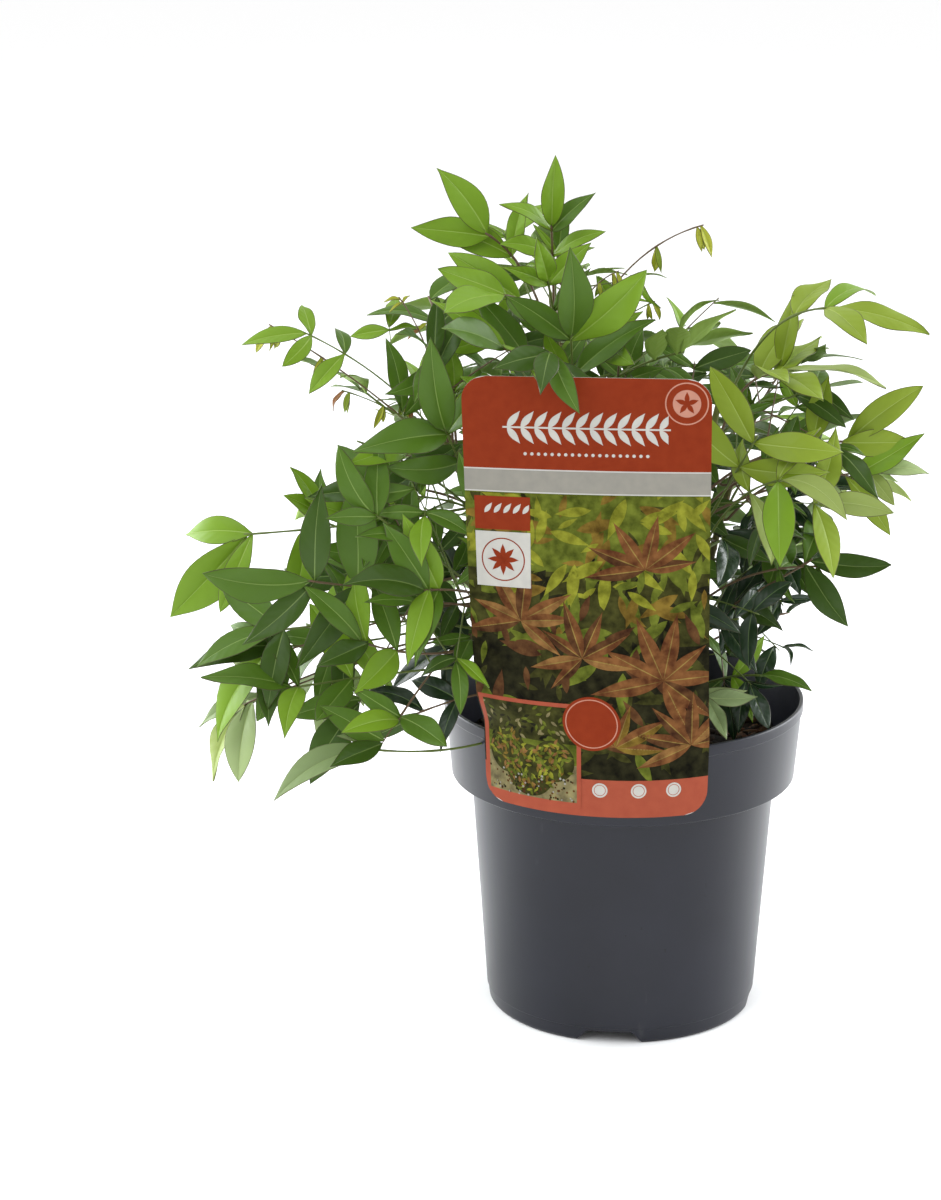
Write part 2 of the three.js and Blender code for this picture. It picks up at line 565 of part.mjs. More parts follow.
// The side stalks that have room
function makeSideStalks({ index, facing, sideStalks }) {
  const isMainStalk = (other) => other.leaf === index && other.stalk === 0;
  const grown = [];
  for (const { foot, end, key } of sideStalks) {
    const line = new THREE.LineCurve3(foot, end);
    const stalk = tube(line, SIDE_STALK_RADIUS, SIDE_STALK_TIP_RADIUS, STALK_SIDES, 1, facing);
    if (isClear(stalk, isMainStalk)) grown.push({ key, solid: place(stalk, index, key) });
  }
  return grown;
}

// The first pose that keeps a blade clear of all but its stalk and the blade beside it, if any does
function growBlade(plan, site) {
  const isOwn = (other) => other.leaf === plan.index
    && (other.stalk === site.stalk || other.root?.distanceTo(site.point) < 1);
  for (let attempt = 0; attempt < TRIES; attempt += 1) {
    const blade = makeBlade(poseBlade(plan, site, attempt));
    if (isClear(blade, isOwn)) return [place(blade, plan.index, -1, site.point)];
  }
  return [];
}

function makeLeaves() {
  const plans = leaves.map(planLeaf);
  const stalks = plans.map(makeStalk);
  const sideStalks = plans.map(makeSideStalks);
  return plans.map((plan, index) => {
    const grown = [0, ...sideStalks[index].map(({ key }) => key)];
    const sites = plan.sites.filter(({ stalk }) => grown.includes(stalk));
    const blades = sites.flatMap((site) => growBlade(plan, site));
    const solids = [stalks[index], ...sideStalks[index].map(({ solid }) => solid), ...blades];
    return wasm.Manifold.union(solids).simplify(SMALLEST_DETAIL);
  });
}

// The whole plant

const plant = new THREE.Group();
plant.add(meshOf('pot', place(makePot()), 'pot'));
plant.add(meshOf('soil', place(makeSoil()), 'soil'));
plant.add(meshOf('plant_card', place(makeCard()), 'card'));
caneCurves.forEach((curve, index) => {
  plant.add(meshOf(`cane_${CANES[index].name}`, place(makeCane(curve)), 'cane'));
});
makeLeaves().forEach((solid, index) => {
  const { name, finish } = leaves[index];
  plant.add(meshOf(name, solid, finish));
});

export default plant;
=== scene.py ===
"""A young heavenly bamboo in its nursery pot, with its picture card: all that is seen of it."""

import math
from collections import namedtuple

import bmesh
import bpy
import numpy as np
from bpy.props import FloatProperty, FloatVectorProperty, IntProperty, PointerProperty
from mathutils import Color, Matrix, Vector, noise
from mathutils.bvhtree import BVHTree
from mathutils.kdtree import KDTree


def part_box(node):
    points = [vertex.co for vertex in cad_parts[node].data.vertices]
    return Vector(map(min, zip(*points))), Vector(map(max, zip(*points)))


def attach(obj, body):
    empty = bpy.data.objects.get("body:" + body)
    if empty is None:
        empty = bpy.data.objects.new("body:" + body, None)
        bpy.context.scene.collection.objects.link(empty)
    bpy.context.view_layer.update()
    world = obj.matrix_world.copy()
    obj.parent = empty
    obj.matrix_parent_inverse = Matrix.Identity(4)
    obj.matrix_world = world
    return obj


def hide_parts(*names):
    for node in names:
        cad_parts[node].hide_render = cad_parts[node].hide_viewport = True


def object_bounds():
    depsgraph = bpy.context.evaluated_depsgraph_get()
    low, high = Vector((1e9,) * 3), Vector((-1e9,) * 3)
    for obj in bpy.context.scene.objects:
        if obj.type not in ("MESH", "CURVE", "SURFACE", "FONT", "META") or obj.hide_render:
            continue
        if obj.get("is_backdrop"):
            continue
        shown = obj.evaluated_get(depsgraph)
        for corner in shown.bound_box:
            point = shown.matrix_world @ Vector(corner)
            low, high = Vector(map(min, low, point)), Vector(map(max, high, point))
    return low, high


bl_info = {
    "name": "Potted Heavenly Bamboo",
    "version": (1, 0, 0),
    "blender": (4, 5, 0),
    "location": "3D View > Sidebar > Plant",
    "description": "Builds a young heavenly bamboo in its nursery pot",
    "category": "Add Mesh",
}

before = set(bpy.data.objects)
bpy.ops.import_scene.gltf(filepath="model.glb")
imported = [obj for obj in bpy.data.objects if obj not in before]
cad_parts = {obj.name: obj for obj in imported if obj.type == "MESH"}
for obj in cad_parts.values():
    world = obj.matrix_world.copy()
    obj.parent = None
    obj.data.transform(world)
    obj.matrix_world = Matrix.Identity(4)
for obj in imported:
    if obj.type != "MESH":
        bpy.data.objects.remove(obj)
CAD_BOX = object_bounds()

MM = 0.001  # tables and sizes below are in millimetres; meshes are in metres
UP = np.array([0.0, 0.0, 1.0])
FRONT = np.array([0.0, -1.0, 0.0])


# ---------------------------------------------------------------------------------------------
# Sizes shared with the solids

SOIL_TOP = 127.0
SOCKET_DEPTH = 12.0
CANE_FOOT_RADIUS = 2.7
CANE_TIP_RADIUS = 1.5
CANE_ELBOW = 0.3  # share of its spread that a cane has made at half its height

Cane = namedtuple("Cane", "foot tip")
CANES = {
    "middle": Cane((-8, 4), (-36, 8, 345)),
    "right": Cane((16, -2), (44, -8, 306)),
    "left": Cane((-24, -8), (-84, -22, 286)),
    "back": Cane((4, 22), (-4, 62, 310)),
    "back_left": Cane((-22, 18), (-88, 52, 268)),
    "back_right": Cane((24, 16), (58, 48, 264)),
    "low_left": Cane((-16, -24), (-66, -44, 216)),
}

STALK_RADIUS = 1.3
STALK_CLEARANCE = 0.65
STALK_HIGHEST = 0.97
STALK_BACKWARD = 0.12
STALK_STEPS = 4
CANE_SEARCH = 0.01
SIDE_TURN = 62
SIDE_START = 0.46
SIDE_STEP = 0.24
SIDE_LENGTH = 1.15
SIDE_SHORTER = 0.25
PAIR_START = 0.72
PAIR_STEP = 0.06
BLADE_DROOP = 0.1
FLANK_LENGTH = 0.86
SMALL_LENGTH = 0.84
END_ROOT = 1.4
END_REACH = 3.5
TRIES = 4
SHORTER_EACH_TRY = 0.09
WIDER_EACH_TRY = 0.6
END_KEY, PAIR_KEY, SIDE_KEY = 1, 8, 20
VARY = {
    "side_turn": 10, "side_hang": 0.25, "side_length": 0.15,
    "turn": 11, "hang": 0.3, "lift": 0.12, "roll": 30, "length": 0.13,
}
TIP_MATCH = 0.15  # a blade's tip lies this near to a corner of its solid
SIDE_ARCH = 0.04
MAIN_POINTS, SIDE_POINTS = 19, 9
MAIN_HIDDEN, SIDE_HIDDEN = 6, 2  # points of a new stalk that may lie in what it grows from

# Each leaf: its cane, the height at which it leaves it, the end of its main stalk, how far the
# stalk arches over the straight line, where its face turns (degrees from up towards the front),
# its blade length, how much its blades hang, its pairs of side stalks and its tone.
# The pale tone is painted light through a thin leaf; the shade tone is painted shade inside the crown.
Leaf = namedtuple("Leaf", "cane height tip arch face blade hang pairs tone")
LEAVES = {
    "leaf_top": Leaf(0, 330, (-36, -17, 380), -8, 42, 33, -0.12, 0, "bright"),
    "leaf_top_left": Leaf(0, 306, (-66, -7, 374), 17, 95, 40, -0.5, 0, "bright"),
    "leaf_top_front": Leaf(0, 300, (-38, -34, 358), -4, 55, 30, -0.2, 0, "bright"),
    "leaf_upright": Leaf(0, 262, (-28, -60, 338), -8, 75, 48, -0.5, 0, "bright"),
    "leaf_high_left": Leaf(0, 288, (-58, -42, 352), 26, 30, 43, 0, 1, "bright"),
    "leaf_high_front": Leaf(0, 250, (-58, -62, 332), 28, 35, 46, -0.1, 0, "bright"),
    "leaf_high_side": Leaf(2, 272, (-92, 16, 340), 20, 20, 38, -0.1, 0, "mid"),
    "leaf_upper_left": Leaf(2, 282, (-90, -42, 324), 6, 45, 36, 0.1, 1, "mid"),
    "leaf_broad": Leaf(2, 240, (-84, -62, 296), -10, 65, 48, 0, 0, "mid"),
    "leaf_over_card": Leaf(0, 276, (-38, -93, 337), 14, 70, 31, 0.9, 0, "deep"),
    "leaf_high_right": Leaf(0, 286, (25, -17, 321), 7, -13, 35, -0.62, 1, "bright"),
    "leaf_high_back": Leaf(3, 296, (-42, 60, 350), 4, -35, 38, 0.1, 1, "mid"),
    "leaf_high_back_left": Leaf(3, 262, (-72, 62, 324), 10, -30, 40, 0.2, 1, "mid"),
    "leaf_right_long": Leaf(1, 290, (91, -21, 342), 25, 11, 45, 0.09, 0, "fresh"),
    "leaf_right_high": Leaf(1, 270, (70, -12, 309), 22, 8, 50, -0.2, 0, "fresh"),
    "leaf_right_upright": Leaf(1, 228, (57, -44, 288), -12, 75, 47, -0.1, 1, "fresh"),
    "leaf_right_far": Leaf(1, 252, (103, -5, 276), 12, 89, 43, -0.85, 1, "fresh"),
    "leaf_right_end": Leaf(1, 238, (116, -6, 262), 8, 55, 26, 0, 0, "pale"),
    "leaf_right_front": Leaf(1, 206, (68, -54, 270), 20, 60, 46, 0.45, 0, "fresh"),
    "leaf_right_low": Leaf(1, 184, (86, -18, 223), -8, 38, 43, 0.37, 0, "deep"),
    "leaf_right_lower": Leaf(1, 160, (52, -24, 196), 12, 50, 34, 0.25, 1, "slate"),
    "leaf_rim_right": Leaf(1, 146, (63, -32, 171), 8, 60, 27, 0.2, 0, "bright"),
    "leaf_rim_front": Leaf(1, 140, (36, -52, 166), 8, 45, 30, 0.3, 0, "grey"),
    "leaf_right_inner": Leaf(5, 208, (80, 14, 244), 8, 40, 36, 0.1, 1, "slate"),
    "leaf_right_inner_low": Leaf(5, 172, (64, 12, 212), 8, 40, 32, 0.2, 1, "slate"),
    "leaf_back_right_high": Leaf(5, 262, (84, 66, 300), 10, -20, 40, 0.1, 1, "mid"),
    "leaf_back_right": Leaf(5, 226, (108, 64, 246), 14, -30, 40, 0.2, 1, "fresh"),
    "leaf_back_right_low": Leaf(5, 170, (78, 86, 200), 12, -40, 38, 0.2, 1, "mid"),
    "leaf_far_left": Leaf(2, 248, (-177, -22, 236), -2, 73, 50, 0.67, 1, "bright"),
    "leaf_left": Leaf(2, 222, (-146, -71, 228), -16, 88, 53, 0.09, 1, "deep"),
    "leaf_left_upright": Leaf(2, 234, (-114, -46, 250), 10, 70, 42, -0.35, 1, "mid"),
    "leaf_left_front": Leaf(6, 216, (-94, -77, 225), 2, 68, 46, 0, 1, "mid"),
    "leaf_left_middle": Leaf(6, 196, (-123, -66, 198), -19, 55, 42, -0.51, 1, "mid"),
    "leaf_left_outer": Leaf(2, 206, (-163, -44, 189), -16, 67, 40, 0.79, 1, "mid"),
    "leaf_low_left_far": Leaf(6, 176, (-155, -58, 173), 6, 47, 43, -0.46, 1, "mid"),
    "leaf_hanging": Leaf(2, 182, (-178, -30, 156), 25, 25, 42, 0.76, 0, "pale"),
    "leaf_low_front": Leaf(6, 154, (-117, -77, 150), -17, 32, 54, 0.62, 0, "grey"),
    "leaf_rim_left": Leaf(6, 162, (-98, -50, 158), 10, 45, 34, 0.1, 0, "shade"),
    "leaf_left_inner": Leaf(6, 186, (-82, -30, 184), 10, 50, 34, 0.2, 1, "shade"),
    "leaf_back_left_high": Leaf(4, 268, (-126, 56, 288), -7, -20, 38, 0.1, 1, "mid"),
    "leaf_back_left": Leaf(4, 232, (-156, 42, 236), 16, -25, 40, 0.2, 2, "bright"),
    "leaf_back_left_low": Leaf(4, 190, (-122, 78, 190), 14, -40, 42, 0.2, 1, "mid"),
    "leaf_back": Leaf(3, 244, (-26, 116, 268), 14, -55, 42, 0.2, 1, "bright"),
    "leaf_back_low": Leaf(3, 190, (-46, 110, 196), 14, -50, 42, 0.2, 1, "mid"),
    "leaf_back_upper": Leaf(3, 276, (34, 92, 300), 12, -45, 40, 0.1, 1, "bright"),
    "leaf_back_lower_right": Leaf(3, 166, (34, 112, 206), 14, -50, 40, 0.2, 1, "mid"),
    "shoot_top_right": Leaf(0, 306, (34, 2, 376), 22, 60, 15, 2.5, 0, "young"),
    "shoot_left_long": Leaf(2, 262, (-165, -4, 331), 2, 60, 15, 2, 1, "young"),
    "shoot_left_short": Leaf(2, 272, (-148, -26, 332), 8, 35, 28, 0.3, 1, "bright"),
}

# Leaves whose stalks and blades don't keep to those of their solids: their rows above are their own
LOOSE = """
    leaf_top leaf_top_left leaf_over_card leaf_high_right leaf_right_long leaf_right_high
    leaf_right_far leaf_right_low leaf_far_left leaf_left leaf_left_middle leaf_left_outer
    leaf_low_left_far leaf_hanging leaf_low_front shoot_top_right
""".split()


# ---------------------------------------------------------------------------------------------
# Leaves that the solids don't have, and the gaps in the crown

# Each cane's further leaves: between which heights, how many, how far they reach, and the tones
# of the lower and the upper ones; the lower ones take darker tones, painted shade inside the crown
Filling = namedtuple("Filling", "low high count reach lower upper")
FILLINGS = {
    "middle": Filling(200, 338, 12, 44, "mid", "bright"),
    "right": Filling(150, 296, 12, 44, "shade", "deep"),
    "left": Filling(165, 276, 12, 46, "deep", "mid"),
    "back": Filling(170, 312, 14, 50, "deep", "mid"),
    "back_left": Filling(160, 268, 12, 48, "deep", "mid"),
    "back_right": Filling(160, 264, 12, 46, "slate", "mid"),
    "low_left": Filling(150, 206, 7, 42, "shade", "mid"),
}
GOLDEN_TURN = 137.5
CANE_TURN = 77  # degrees from one cane's first leaf to the next one's
CANE_PLACES = 101  # at which a further leaf may leave its cane
FILLING_ARCH = 4
FILLING_FACE, FILLING_FORWARD = 25, 40  # degrees: how its face turns, and how much more at the front
# The last leaf of each cane, its height and tip counted from the cane's end
TUFT = Leaf(0, 0, (4, -6, 20), 2, 40, 24, -0.3, 0, "bright")
# lower: the share of a cane's further leaves, from below, that take the darker tone as painted shade
FILLING_HABIT = {
    "reach": (1, 0.3, 51), "rise": (0.35, 0.3, 52), "blade": (32, 7, 53), "lower": (0.62, 0.2, 54),
    "hang": (0.1, 0.2, 55),
}

# More leaves and hanging young sprigs, outside the solids' leaves
SPRAYS = {
    "low_left": Leaf(6, 190, (-162, -50, 198), 12, 60, 42, 0.1, 0, "mid"),
    "pale_left": Leaf(2, 186, (-168, -25, 158), 16, 60, 36, 0.2, 0, "pale"),
    "right_outer": Leaf(1, 240, (106, -22, 276), -10, 60, 42, -0.5, 0, "fresh"),
    "right_below": Leaf(1, 190, (92, -20, 220), 14, 60, 26, 0.9, 0, "mid"),
    "left_high": Leaf(6, 213, (-117, -72, 260), -4, 59, 36, -0.63, 0, "mid"),
    "left_down": Leaf(2, 209, (-168, -50, 185), 5, 39, 50, 1.18, 0, "mid"),
    "right_low": Leaf(1, 150, (56, -27, 198), 17, -9, 33, 0.29, 0, "deep"),
    "left_up": Leaf(4, 211, (-144, -2, 238), -15, 62, 30, -1.23, 0, "mid"),
}
SPRIGS = {
    "top": Leaf(0, 318, (-5, -10, 357), 10, 60, 10, 2.2, 0, "young"),
    "right": Leaf(0, 300, (12, -5, 342), 8, 60, 9, 2.2, 0, "flush"),
    "left": Leaf(2, 276, (-93, -42, 329), 10, 40, 10, 2.0, 0, "young"),
    "high": Leaf(2, 280, (-105, -20, 347), 8, 40, 8, 0.6, 0, "flush"),
    "bud": Leaf(2, 262, (-99, -50, 313), 6, 60, 11, -0.4, 0, "young"),
    "side": Leaf(2, 262, (-131, -30, 306), 10, 60, 12, 1.6, 0, "young"),
}

# Where the crown stays open: circles as they show from the front, a little above
Gap = namedtuple("Gap", "x height radius")
GAPS = [
    Gap(-163, 280, 16), Gap(-138, 279, 15), Gap(-112, 283, 9), Gap(-187, 254, 16),
    Gap(-140, 90, 18), Gap(-113, 97, 18), Gap(-94, 110, 10),
    Gap(12, 362, 10), Gap(33, 358, 14), Gap(48, 359, 12), Gap(-98, 362, 7), Gap(78, 198, 8),
    Gap(-172, 247, 15), Gap(80, 178, 15), Gap(98, 208, 7), Gap(-121, 293, 10), Gap(8, 340, 9),
    Gap(80, 322, 5), Gap(101, 277, 9), Gap(-103, 121, 15), Gap(-118, 352, 10),
    Gap(-63, 389, 3), Gap(-164, 139, 3), Gap(105, 336, 3), Gap(63, 319, 3), Gap(103, 291, 3),
]
LOOK_DOWN = 0.29  # how much further back a thing shows as much higher


# ---------------------------------------------------------------------------------------------
# Small tools

def unit(vector):
    return vector / np.linalg.norm(vector)


def rotated(vector, axis, degrees):
    """vector turned about a unit axis."""
    angle = math.radians(degrees)
    along = axis * np.dot(axis, vector)
    return along + (vector - along) * math.cos(angle) + np.cross(axis, vector) * math.sin(angle)


def squared_to(vector, direction):
    """The part of vector at right angles to a unit direction, at unit length."""
    return unit(vector - direction * np.dot(vector, direction))


def chance(*keys):
    """A repeatable number from 0 to 1 for a leaf, one of its parts and one use of it."""
    number = 2166136261
    for key in keys:
        number = ((number ^ (key + 1)) * 16777619) & 0xFFFFFFFF
        number ^= number >> 15
        number = (number * 2246822519) & 0xFFFFFFFF
        number ^= number >> 13
    return number / 2**32


def spread(amount, *keys):
    return (chance(*keys) * 2 - 1) * amount


def drawn(table, *keys):
    """The values of a table of (middle value, spread, use), each with its own draw."""
    return {name: middle + spread(amount, *keys, use) for name, (middle, amount, use) in table.items()}


class Bezier:
    """A curve through two ends that one middle point pulls."""

    def __init__(self, start, middle, end):
        self.start, self.middle, self.end = (np.array(p, float) for p in (start, middle, end))

    def point(self, t):
        return (1 - t) ** 2 * self.start + 2 * t * (1 - t) * self.middle + t * t * self.end

    def tangent(self, t):
        t = min(max(t, 0.00005), 0.99995)
        return unit((1 - t) * (self.middle - self.start) + t * (self.end - self.middle))

    def points(self, count):
        return np.array([self.point(t) for t in np.linspace(0, 1, count)])


def quads_over(rows, columns, closed=False):
    """Corner numbers of the quads over a grid of points, joined round where closed."""
    index = np.arange(rows * columns).reshape(rows, columns)
    if closed:
        index = np.concatenate([index, index[:, :1]], 1)
    return np.stack([index[:-1, :-1], index[:-1, 1:], index[1:, 1:], index[1:, :-1]], -1)


class Shape:
    """Points and faces gathered from many parts, which become one mesh with several finishes."""

    def __init__(self):
        self.count = 0
        self.points, self.faces, self.slots, self.maps = [], [], [], []

    def add(self, points, faces, slots, places=None):
        """points in millimetres, faces as rows of corner numbers, a finish number for each face."""
        self.add_faces(self.count, faces, slots)
        self.points.append(np.asarray(points, float))
        self.maps.append(np.zeros((len(points), 2)) if places is None else np.asarray(places))
        self.count += len(points)

    def add_faces(self, first, faces, slots):
        """More faces over points that were added before, counted from first."""
        faces = np.asarray(faces, np.int64)
        self.faces.append(faces + first)
        self.slots.append(np.broadcast_to(np.asarray(slots, np.int32), len(faces)))

    def grid(self, points, slots, closed=False, places=None):
        """Quads over rows and columns of points; the columns join round where closed."""
        faces = quads_over(*points.shape[:2], closed)
        slots = np.broadcast_to(np.asarray(slots, np.int32), faces.shape[:2]).ravel()
        first = self.count
        self.add(points.reshape(-1, 3), faces.reshape(-1, 4), slots,
                 None if places is None else places.reshape(-1, 2))
        return first

    def cap(self, first, ring, middle, slot, outward):
        """Closes a ring of points that were added before with a fan about its middle."""
        self.points.append(np.asarray(middle, float)[None])
        self.maps.append(np.zeros((1, 2)))
        centre = np.full(len(ring), self.count - first)
        self.count += 1
        after = np.roll(ring, -1)
        fan = np.stack([ring, after, centre] if outward else [after, ring, centre], -1)
        self.add_faces(first, fan, slot)

    def solid(self, rings, slots, middles, end_slots=None, places=None):
        """Rings joined to a skin that a fan about a middle point closes at each end."""
        first = self.grid(rings, slots, closed=True, places=places)
        rows, sides = rings.shape[:2]
        near, far = end_slots or (slots, slots)
        ring = np.arange(sides)
        self.cap(first, ring, middles[0], near, outward=False)
        self.cap(first, (rows - 1) * sides + ring, middles[1], far, outward=True)

    def build(self, name, finishes, smooth=None):
        """The mesh object. Edges sharper than smooth (degrees) stay sharp."""
        mesh = bpy.data.meshes.new(name)
        points = np.concatenate(self.points) * MM
        sizes = np.concatenate([np.full(len(f), f.shape[1]) for f in self.faces])
        corners = np.concatenate([f.ravel() for f in self.faces])
        mesh.vertices.add(len(points))
        mesh.vertices.foreach_set("co", points.ravel())
        mesh.loops.add(len(corners))
        mesh.loops.foreach_set("vertex_index", corners)
        mesh.polygons.add(len(sizes))
        mesh.polygons.foreach_set("loop_start", np.cumsum(sizes) - sizes)
        mesh.polygons.foreach_set("material_index", np.concatenate(self.slots))
        mesh.uv_layers.new(name="UVMap").uv.foreach_set(
            "vector", np.concatenate(self.maps)[corners].ravel())
        for finish in finishes:
            mesh.materials.append(finish)
        mesh.update(calc_edges=True)
        mesh.shade_smooth()
        if smooth:
            mesh.set_sharp_from_angle(angle=math.radians(smooth))
        piece = bpy.data.objects.new(name, mesh)
        bpy.context.scene.collection.objects.link(piece)
        return piece


def tube(shape, path, radii, sides, slot, ripple=None):
    """A closed round tube along a path, with a radius at each point of it."""
    steps = np.gradient(path, axis=0)
    tangents = steps / np.linalg.norm(steps, axis=1)[:, None]
    seed = FRONT if abs(tangents[0][1]) < 0.9 else UP
    outward = squared_to(seed, tangents[0])
    angles = np.arange(sides) * 2 * math.pi / sides
    rings = []
    for row, (point, tangent, radius) in enumerate(zip(path, tangents, radii)):
        outward = squared_to(outward, tangent)
        aside = np.cross(tangent, outward)
        reach = radius * (1 + (0 if ripple is None else np.array(ripple[row])))
        reach = np.broadcast_to(reach, sides)[:, None]
        rings.append(point + reach * (np.cos(angles)[:, None] * outward
                                      + np.sin(angles)[:, None] * aside))
    lengths = np.concatenate([[0], np.cumsum(np.linalg.norm(np.diff(path, axis=0), axis=1))])
    places = np.stack(np.meshgrid(angles / (2 * math.pi), lengths * 0.02, indexing="xy"), -1)
    shape.solid(np.array(rings), slot, (path[0], path[-1]), places=places)


def circle(radius, height, sides):
    """A level ring of points round +Z."""
    angles = np.arange(sides) * 2 * math.pi / sides
    return [(radius * math.cos(a), radius * math.sin(a), height) for a in angles]


def lathe(shape, profile, sides, slot):
    """A solid turned about +Z from rows of radius and height that start and end on the axis."""
    rings = np.array([circle(radius, height, sides) for radius, height in profile[1:-1]])
    shape.solid(rings, slot, [(0, 0, profile[end][1]) for end in (0, -1)])


def rounded(corners, steps=4):
    """An outline whose corners (x, y, cut) are cut back and joined by short curves."""
    points = []
    for i, (x, y, cut) in enumerate(corners):
        corner = np.array([x, y], float)
        if not cut:
            points.append(corner)
            continue
        before = np.array(corners[i - 1][:2], float)
        after = np.array(corners[(i + 1) % len(corners)][:2], float)
        start, end = corner + unit(before - corner) * cut, corner + unit(after - corner) * cut
        points.extend(Bezier(start, corner, end).points(steps + 1))
    return np.array(points)


def finished(piece, slot, *nodes):
    """Hangs a piece on the plant's body and hides the solids that it stands for."""
    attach(piece, "root")
    if nodes:
        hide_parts(*nodes)
    return piece


# ---------------------------------------------------------------------------------------------
# Finishes

BLACK, WHITE = (0, 0, 0), (1, 1, 1)
MIX_SHARE, MIX_UNDER, MIX_OVER, MIX_RESULT = 0, 6, 7, 2  # sockets of a Mix node for colours
VEIN_SLANT = -0.22


def linear(colour):
    return (*Color(colour).from_srgb_to_scene_linear(), 1.0)


def mixed(colour, other, share):
    return tuple(a + (b - a) * share for a, b in zip(colour, other))


class Nodes:
    """A node tree and short ways to add to it."""

    def __init__(self, tree):
        self.tree = tree

    def node(self, kind, **inputs):
        node = self.tree.nodes.new(kind)
        for name, value in inputs.items():
            node.inputs[name.replace("_", " ")].default_value = value
        return node

    def link(self, output, socket):
        self.tree.links.new(output, socket)

    def axis(self, vector, name):
        """One coordinate of a vector."""
        split = self.node("ShaderNodeSeparateXYZ")
        self.link(vector, split.inputs["Vector"])
        return split.outputs[name]

    def between(self, value, start, end, low=0.0, high=1.0):
        """A value that runs from start to end, made to run from low to high."""
        span = self.node("ShaderNodeMapRange", From_Min=start, From_Max=end, To_Min=low, To_Max=high)
        self.link(value, span.inputs["Value"])
        return span.outputs["Result"]

    def maths(self, operation, *values):
        """The result of an operation on outputs and plain numbers."""
        node = self.node("ShaderNodeMath")
        node.operation = operation
        for socket, value in zip(node.inputs, values):
            if isinstance(value, bpy.types.NodeSocket):
                self.link(value, socket)
            else:
                socket.default_value = value
        return node.outputs[0]


class Finish(Nodes):
    """A Principled material and the few nodes that give it colour, wear and relief."""

    def __init__(self, name, colour, roughness, specular=0.5):
        self.material = bpy.data.materials.new(name)
        self.material.use_nodes = True
        super().__init__(self.material.node_tree)
        self.shader = self.tree.nodes["Principled BSDF"]
        self.shader.inputs["Base Color"].default_value = linear(colour)
        self.shader.inputs["Roughness"].default_value = roughness
        self.shader.inputs["Specular IOR Level"].default_value = specular
        self.relief = None

    def place(self, kind="Object", scale=(1, 1, 1)):
        """Where a point is, in metres or on the map, stretched by scale."""
        source = self.node("ShaderNodeTexCoord")
        mapping = self.node("ShaderNodeMapping", Scale=scale)
        self.link(source.outputs[kind], mapping.inputs["Vector"])
        return mapping.outputs["Vector"]

    def noise(self, scale, detail=3, kind="Object", stretch=(1, 1, 1)):
        texture = self.node("ShaderNodeTexNoise", Scale=scale, Detail=detail)
        self.link(self.place(kind, stretch), texture.inputs["Vector"])
        return texture.outputs["Fac"]

    def ramp(self, value, stops):
        """Colours or greys by value: stops are (place, colour)."""
        ramp = self.node("ShaderNodeValToRGB")
        self.link(value, ramp.inputs["Fac"])
        elements = ramp.color_ramp.elements
        while len(elements) < len(stops):
            elements.new(0.5)
        for element, (place, colour) in zip(elements, stops):
            element.position = place
            element.color = linear(colour) if len(colour) == 3 else colour
        return ramp.outputs["Color"]

    def colour_by(self, value, stops):
        self.link(self.ramp(value, stops), self.shader.inputs["Base Color"])

    def overlay(self, value, low, high, most, colour):
        """Lays a colour over the base colour: none where value is low, a share of most where high."""
        socket = self.shader.inputs["Base Color"]
        under = socket.links[0].from_socket
        mix = self.node("ShaderNodeMix")
        mix.data_type = "RGBA"
        share = self.ramp(value, [(low, (0, 0, 0, 1)), (high, (most, most, most, 1))])
        self.link(share, mix.inputs[MIX_SHARE])
        self.link(under, mix.inputs[MIX_UNDER])
        mix.inputs[MIX_OVER].default_value = linear(colour)
        self.link(mix.outputs[MIX_RESULT], socket)

    def roughness_by(self, value, low, high):
        self.link(self.between(value, 0, 1, low, high), self.shader.inputs["Roughness"])

    def bump(self, value, strength, distance):
        """Relief of that depth in millimetres, on top of the relief there is."""
        bump = self.node("ShaderNodeBump", Strength=strength, Distance=distance * MM)
        self.link(value, bump.inputs["Height"])
        if self.relief:
            self.link(self.relief, bump.inputs["Normal"])
        self.relief = bump.outputs["Normal"]
        self.link(self.relief, self.shader.inputs["Normal"])

    def veins(self, pairs):
        """Side veins that run from the midrib forwards to the edge, on a leaflet's map."""
        place = self.place("UV")
        aside = self.maths("ABSOLUTE", self.axis(place, "Y"))
        along = self.maths("MULTIPLY_ADD", aside, VEIN_SLANT, self.axis(place, "X"))
        return self.maths("SINE", self.maths("MULTIPLY", along, pairs * 2 * math.pi))


# ---------------------------------------------------------------------------------------------
# What a user would change

def colour_setting(name, description, default):
    return FloatVectorProperty(
        name=name, description=description, subtype="COLOR_GAMMA", size=3, min=0, max=1,
        default=tuple(level / 255 for level in default))


def length_setting(name, description, default):
    """A length; default is in millimetres."""
    return FloatProperty(name=name, description=description, default=default * MM,
                         subtype="DISTANCE", unit="LENGTH", min=0)


def share_setting(name, description, default):
    return FloatProperty(name=name, description=description, default=default,
                         subtype="FACTOR", min=0, max=1)


def power_setting(name, description, default):
    """The power of a lamp, in watts."""
    return FloatProperty(name=name, description=description, default=default,
                         subtype="POWER", unit="POWER", min=0)


def count_setting(name, description, default, least=0):
    return IntProperty(name=name, description=description, default=default, min=least)


class PotSettings(bpy.types.PropertyGroup):
    rim_radius: length_setting("Rim radius", "Outside of the rim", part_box("pot")[1].y / MM)
    height: length_setting("Height", "From the floor to the rim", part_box("pot")[1].z / MM)
    wall: length_setting("Wall", "Thickness of the plastic", 1.8)
    sides: count_setting("Sides", "Facets round the pot", 192, 24)
    colour: colour_setting("Plastic", "Dark grey of the plastic", (16, 18, 29))
    dust: colour_setting("Dust", "Dried splashes of soil and lime", (84, 84, 84))
    roughness: share_setting("Roughness", "Of the plastic", 0.31)


